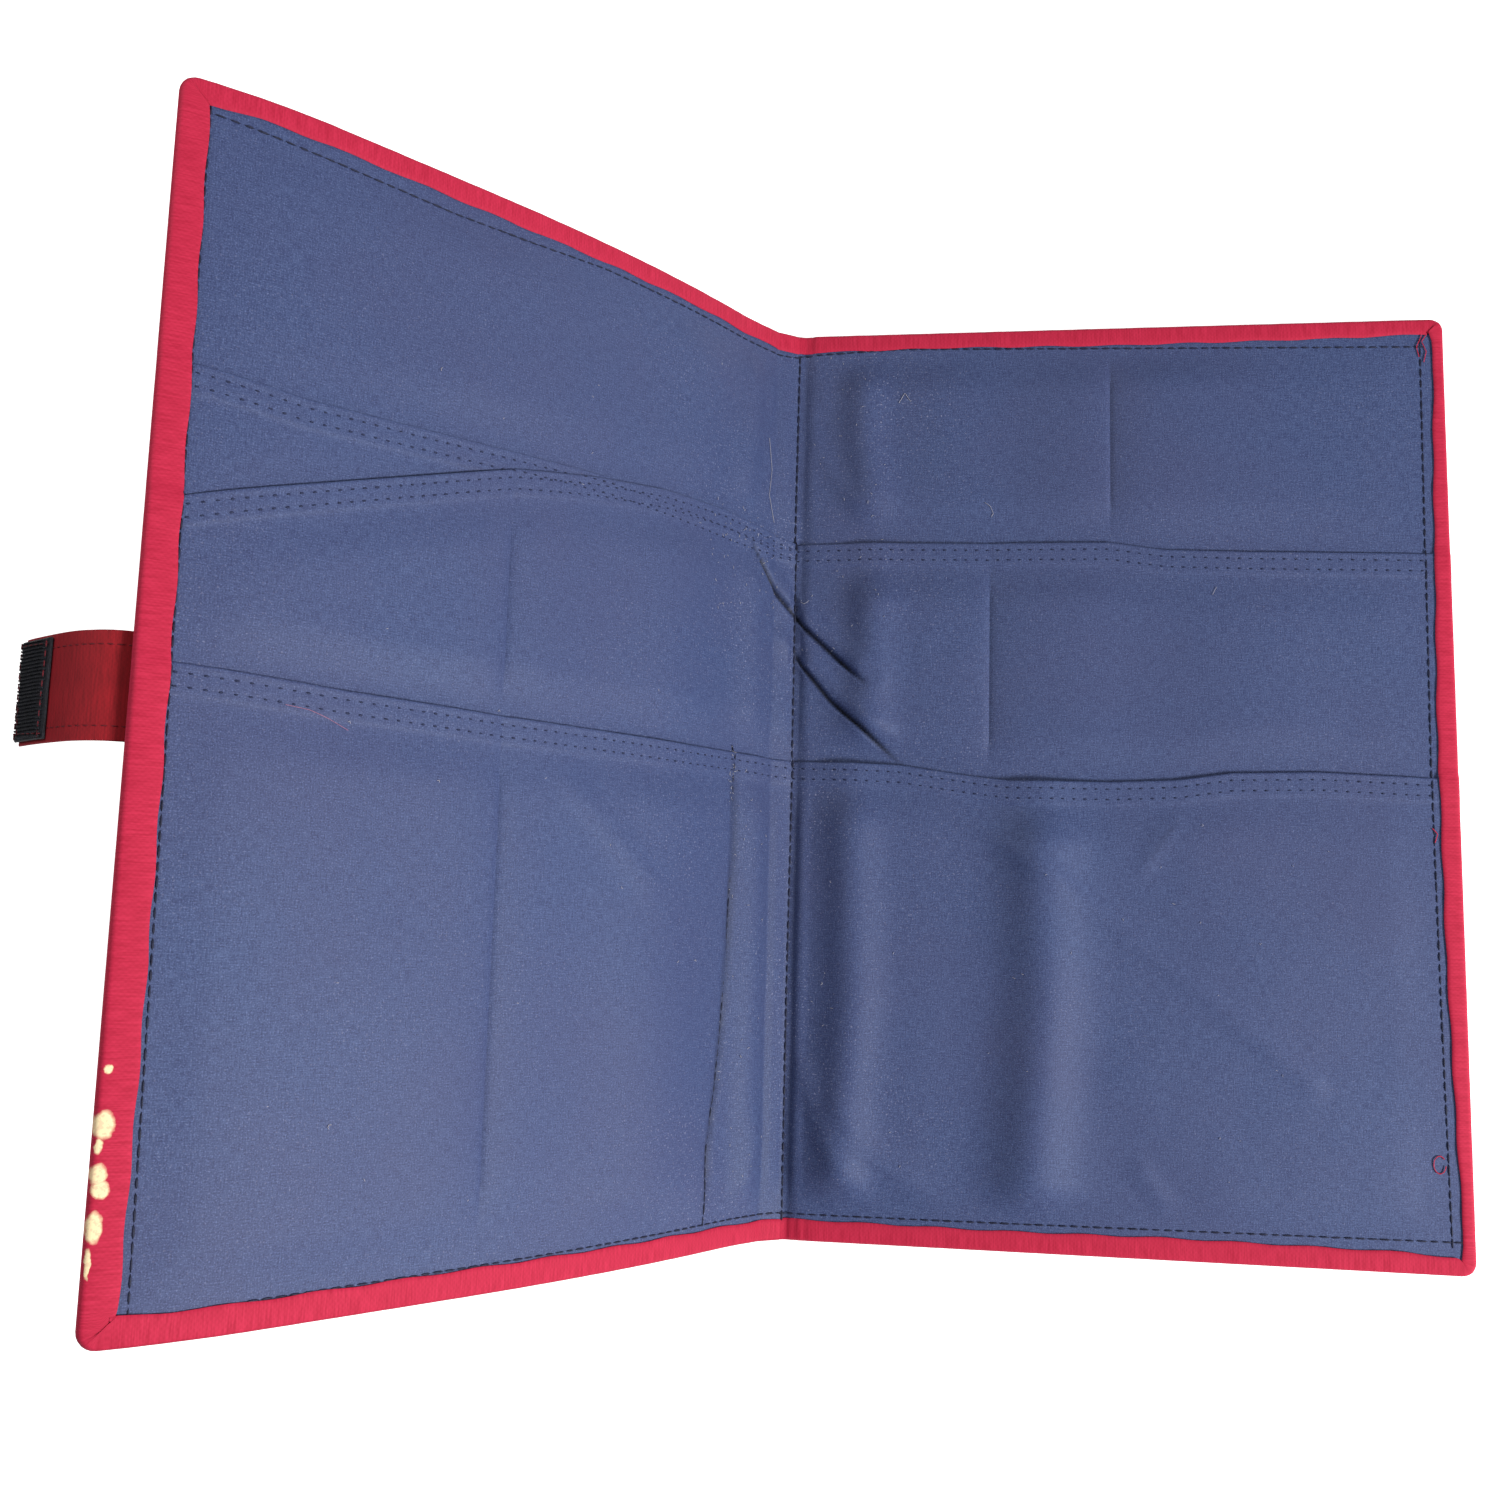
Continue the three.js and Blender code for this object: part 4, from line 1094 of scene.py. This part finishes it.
for (label, side), (thread, radius, paths) in LOOSE.items():
    found = []
    for points in paths:
        s, y = resampled(points, 0.5)
        found.append((s, y, stack_top(side, s, y) + radius + 0.25, 1))
    lines = seam_object(found)
    name = f"loose_{label}_{'right' if side > 0 else 'left'}"
    obj = made_by(thread_nodes, thread_ids, lines, name, radius=radius * MM, thread=thread)
    loose.append((obj, side))
    bpy.data.objects.remove(lines)
    print(name, len(obj.data.polygons), "faces")

# %% [markdown]
# ## What each piece moves with
# The back cover, the spine and the front cover are three bodies. A half of the cloth bends over one
# fold, and is only fixed where it lies; the strap and the closing tapes are hung on their covers.

# %% Fix each piece in place, and hang the strap and tapes on their covers
def blend_half(obj, side):
    turn = FOLD_TURN / 2
    if side > 0:
        ends, bodies = (FOLD + turn, FOLD - turn), ("back_cover", "spine")
    else:
        ends, bodies = (-FOLD + turn, -FOLD - turn), ("spine", "front_cover")
    start, end = (tuple(place(s, FOLDER_HEIGHT / 2, 0)) for s in ends)
    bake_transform(obj)


HALF_WIDTH = (FREE_EDGE - RIM_MARGIN) * MM
NODE_OF = {"lining": "lining", "upper": "upper_pocket", "slanted": "slanted_pocket",
           "lower": "lower_pocket"}
for (name, side), obj in cloths.items():
    blend_half(obj, side)
    width = HALF_WIDTH - side * SPINE_SEAM * MM
    under = ORDER[ORDER.index(name) - 1]
    under = "upper" if name == "lower" and side > 0 else under
    if name == "slanted":
        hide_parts("slanted_pocket_front")
    elif side > 0:
        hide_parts(NODE_OF[name] + "_back")
    else:
        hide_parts(NODE_OF[name] + "_front", NODE_OF[name] + "_spine")

for side in (1, -1):
    blend_half(jutes[side], side)
    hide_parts(*(["jute_back"] if side > 0 else ["jute_front", "jute_spine"]))
    blend_half(bindings[side], side)
    covered = ["binding_back"] if side > 0 else ["binding_front", "binding_spine_top",
                                                 "binding_spine_bottom"]
    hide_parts(*covered)
for (kind, side), obj in stitches.items():
    if kind in ("strap", "hooks"):
        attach(obj, "front_cover")
    else:
        blend_half(obj, side)
for obj, side in loose:
    blend_half(obj, side)

for obj, node, body, size, slot in (
        (strap, "strap", "front_cover", (STRAP_FREE + STRAP_SEWN, STRAP_WIDTH), "binding"),
        (hook_tape, "hook_tape", "front_cover", (HOOK_LENGTH, TAPE_WIDTH), "tape"),
        (loop_tape, "loop_tape", "back_cover", (LOOP_LENGTH, TAPE_WIDTH), "tape")):
    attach(obj, body)
    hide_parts(node)

for name in ("board_back", "board_front"):
    nodes[name].data.materials.clear()
    nodes[name].data.materials.append(grey_board)

# %% [markdown]
# ## Camera, light and table
# The camera looks almost straight down from half a metre, a little to the right of the spine.
# A small soft lamp stands on the right, so the flat cover is lit at a slant and its folds show,
# and the raised cover faces the light. A weaker one fills the shadows from the far left.

# %% Camera
# In mm from the middle of the spine, the bottom edge and the middle plane of the back cover
CAMERA_PLACE = (64.91, 104.83, 552.79)
MIDDLE_PLANE = 2.3
camera_data = bpy.data.cameras.new("camera")
camera_data.lens = 35.54
camera_data.sensor_width = 36.0
camera_data.sensor_fit = "HORIZONTAL"
camera = bpy.data.objects.new("camera", camera_data)
bpy.context.scene.collection.objects.link(camera)
right = Vector((0.9908976, 0.0272473, -0.1318314))
up = Vector((-0.0093812, 0.9908979, 0.1342886))
back = Vector((0.1342904, -0.1318295, 0.9821339))
turned = Matrix((right, up, back)).transposed().to_4x4()
stand = Vector(((CAMERA_PLACE[0] + SHIFT_X) * MM, (CAMERA_PLACE[1] - FOLDER_HEIGHT / 2) * MM,
                (CAMERA_PLACE[2] + MIDDLE_PLANE + SHIFT_Z) * MM))
camera.matrix_world = Matrix.Translation(stand) @ turned
bpy.context.scene.camera = camera
print("camera %.2f m above the table" % stand.z)

# %% Lamps, world and table
def lamp(name, location, aim, size, watts):
    data = bpy.data.lights.new(name, "AREA")
    data.shape = "DISK"
    data.size = size
    data.energy = watts
    obj = bpy.data.objects.new(name, data)
    obj.location = location
    obj.rotation_euler = (Vector(aim) - Vector(location)).to_track_quat("-Z", "Y").to_euler()
    bpy.context.scene.collection.objects.link(obj)


LIT = (0, 0, 0.03)
WORLD_LIGHT = 0.16
TABLE = 3.0
TABLE_TOP = -0.0006
TABLE_GLOW = 0.8
lamp("key lamp", (1.1, -0.45, 0.74), LIT, 0.4, 26.0)
lamp("fill lamp", (-0.6, 0.5, 1.1), LIT, 0.8, 7.0)

world = bpy.data.worlds.new("studio")
bpy.context.scene.world = world
world.use_nodes = True
world.node_tree.nodes.clear()
tree = world.node_tree
rays = add(tree, "ShaderNodeLightPath").node.outputs
seen = add(tree, "ShaderNodeMath", {0: rays["Is Camera Ray"], 1: rays["Is Transmission Ray"]},
           operation="MAXIMUM")
strength = add(tree, "ShaderNodeMapRange", {0: seen, 3: WORLD_LIGHT, 4: 1.0})
sky = add(tree, "ShaderNodeBackground", {"Color": linear("#ffffff"), "Strength": strength})
add(tree, "ShaderNodeOutputWorld", {0: sky})

table_mesh = bpy.data.meshes.new("table")
corners = [(-TABLE, -TABLE), (TABLE, -TABLE), (TABLE, TABLE), (-TABLE, TABLE)]
table_mesh.from_pydata([(x, y, TABLE_TOP) for x, y in corners], [], [(0, 1, 2, 3)])
table = bpy.data.objects.new("table", table_mesh)
bpy.context.scene.collection.objects.link(table)
paint, tree = new_material("white table")
camera_ray = add(tree, "ShaderNodeLightPath", out="Is Camera Ray")
glow = add(tree, "ShaderNodeMath", {0: camera_ray, 1: TABLE_GLOW}, operation="MULTIPLY")
surface = add(tree, "ShaderNodeBsdfPrincipled",
              {"Base Color": linear("#f6f6f6"), "Roughness": 0.8, "Specular IOR Level": 0.1,
               "Emission Color": linear("#ffffff"), "Emission Strength": glow})
add(tree, "ShaderNodeOutputMaterial", {0: surface})
table_mesh.materials.append(paint)

bpy.context.scene.view_settings.view_transform = "Standard"
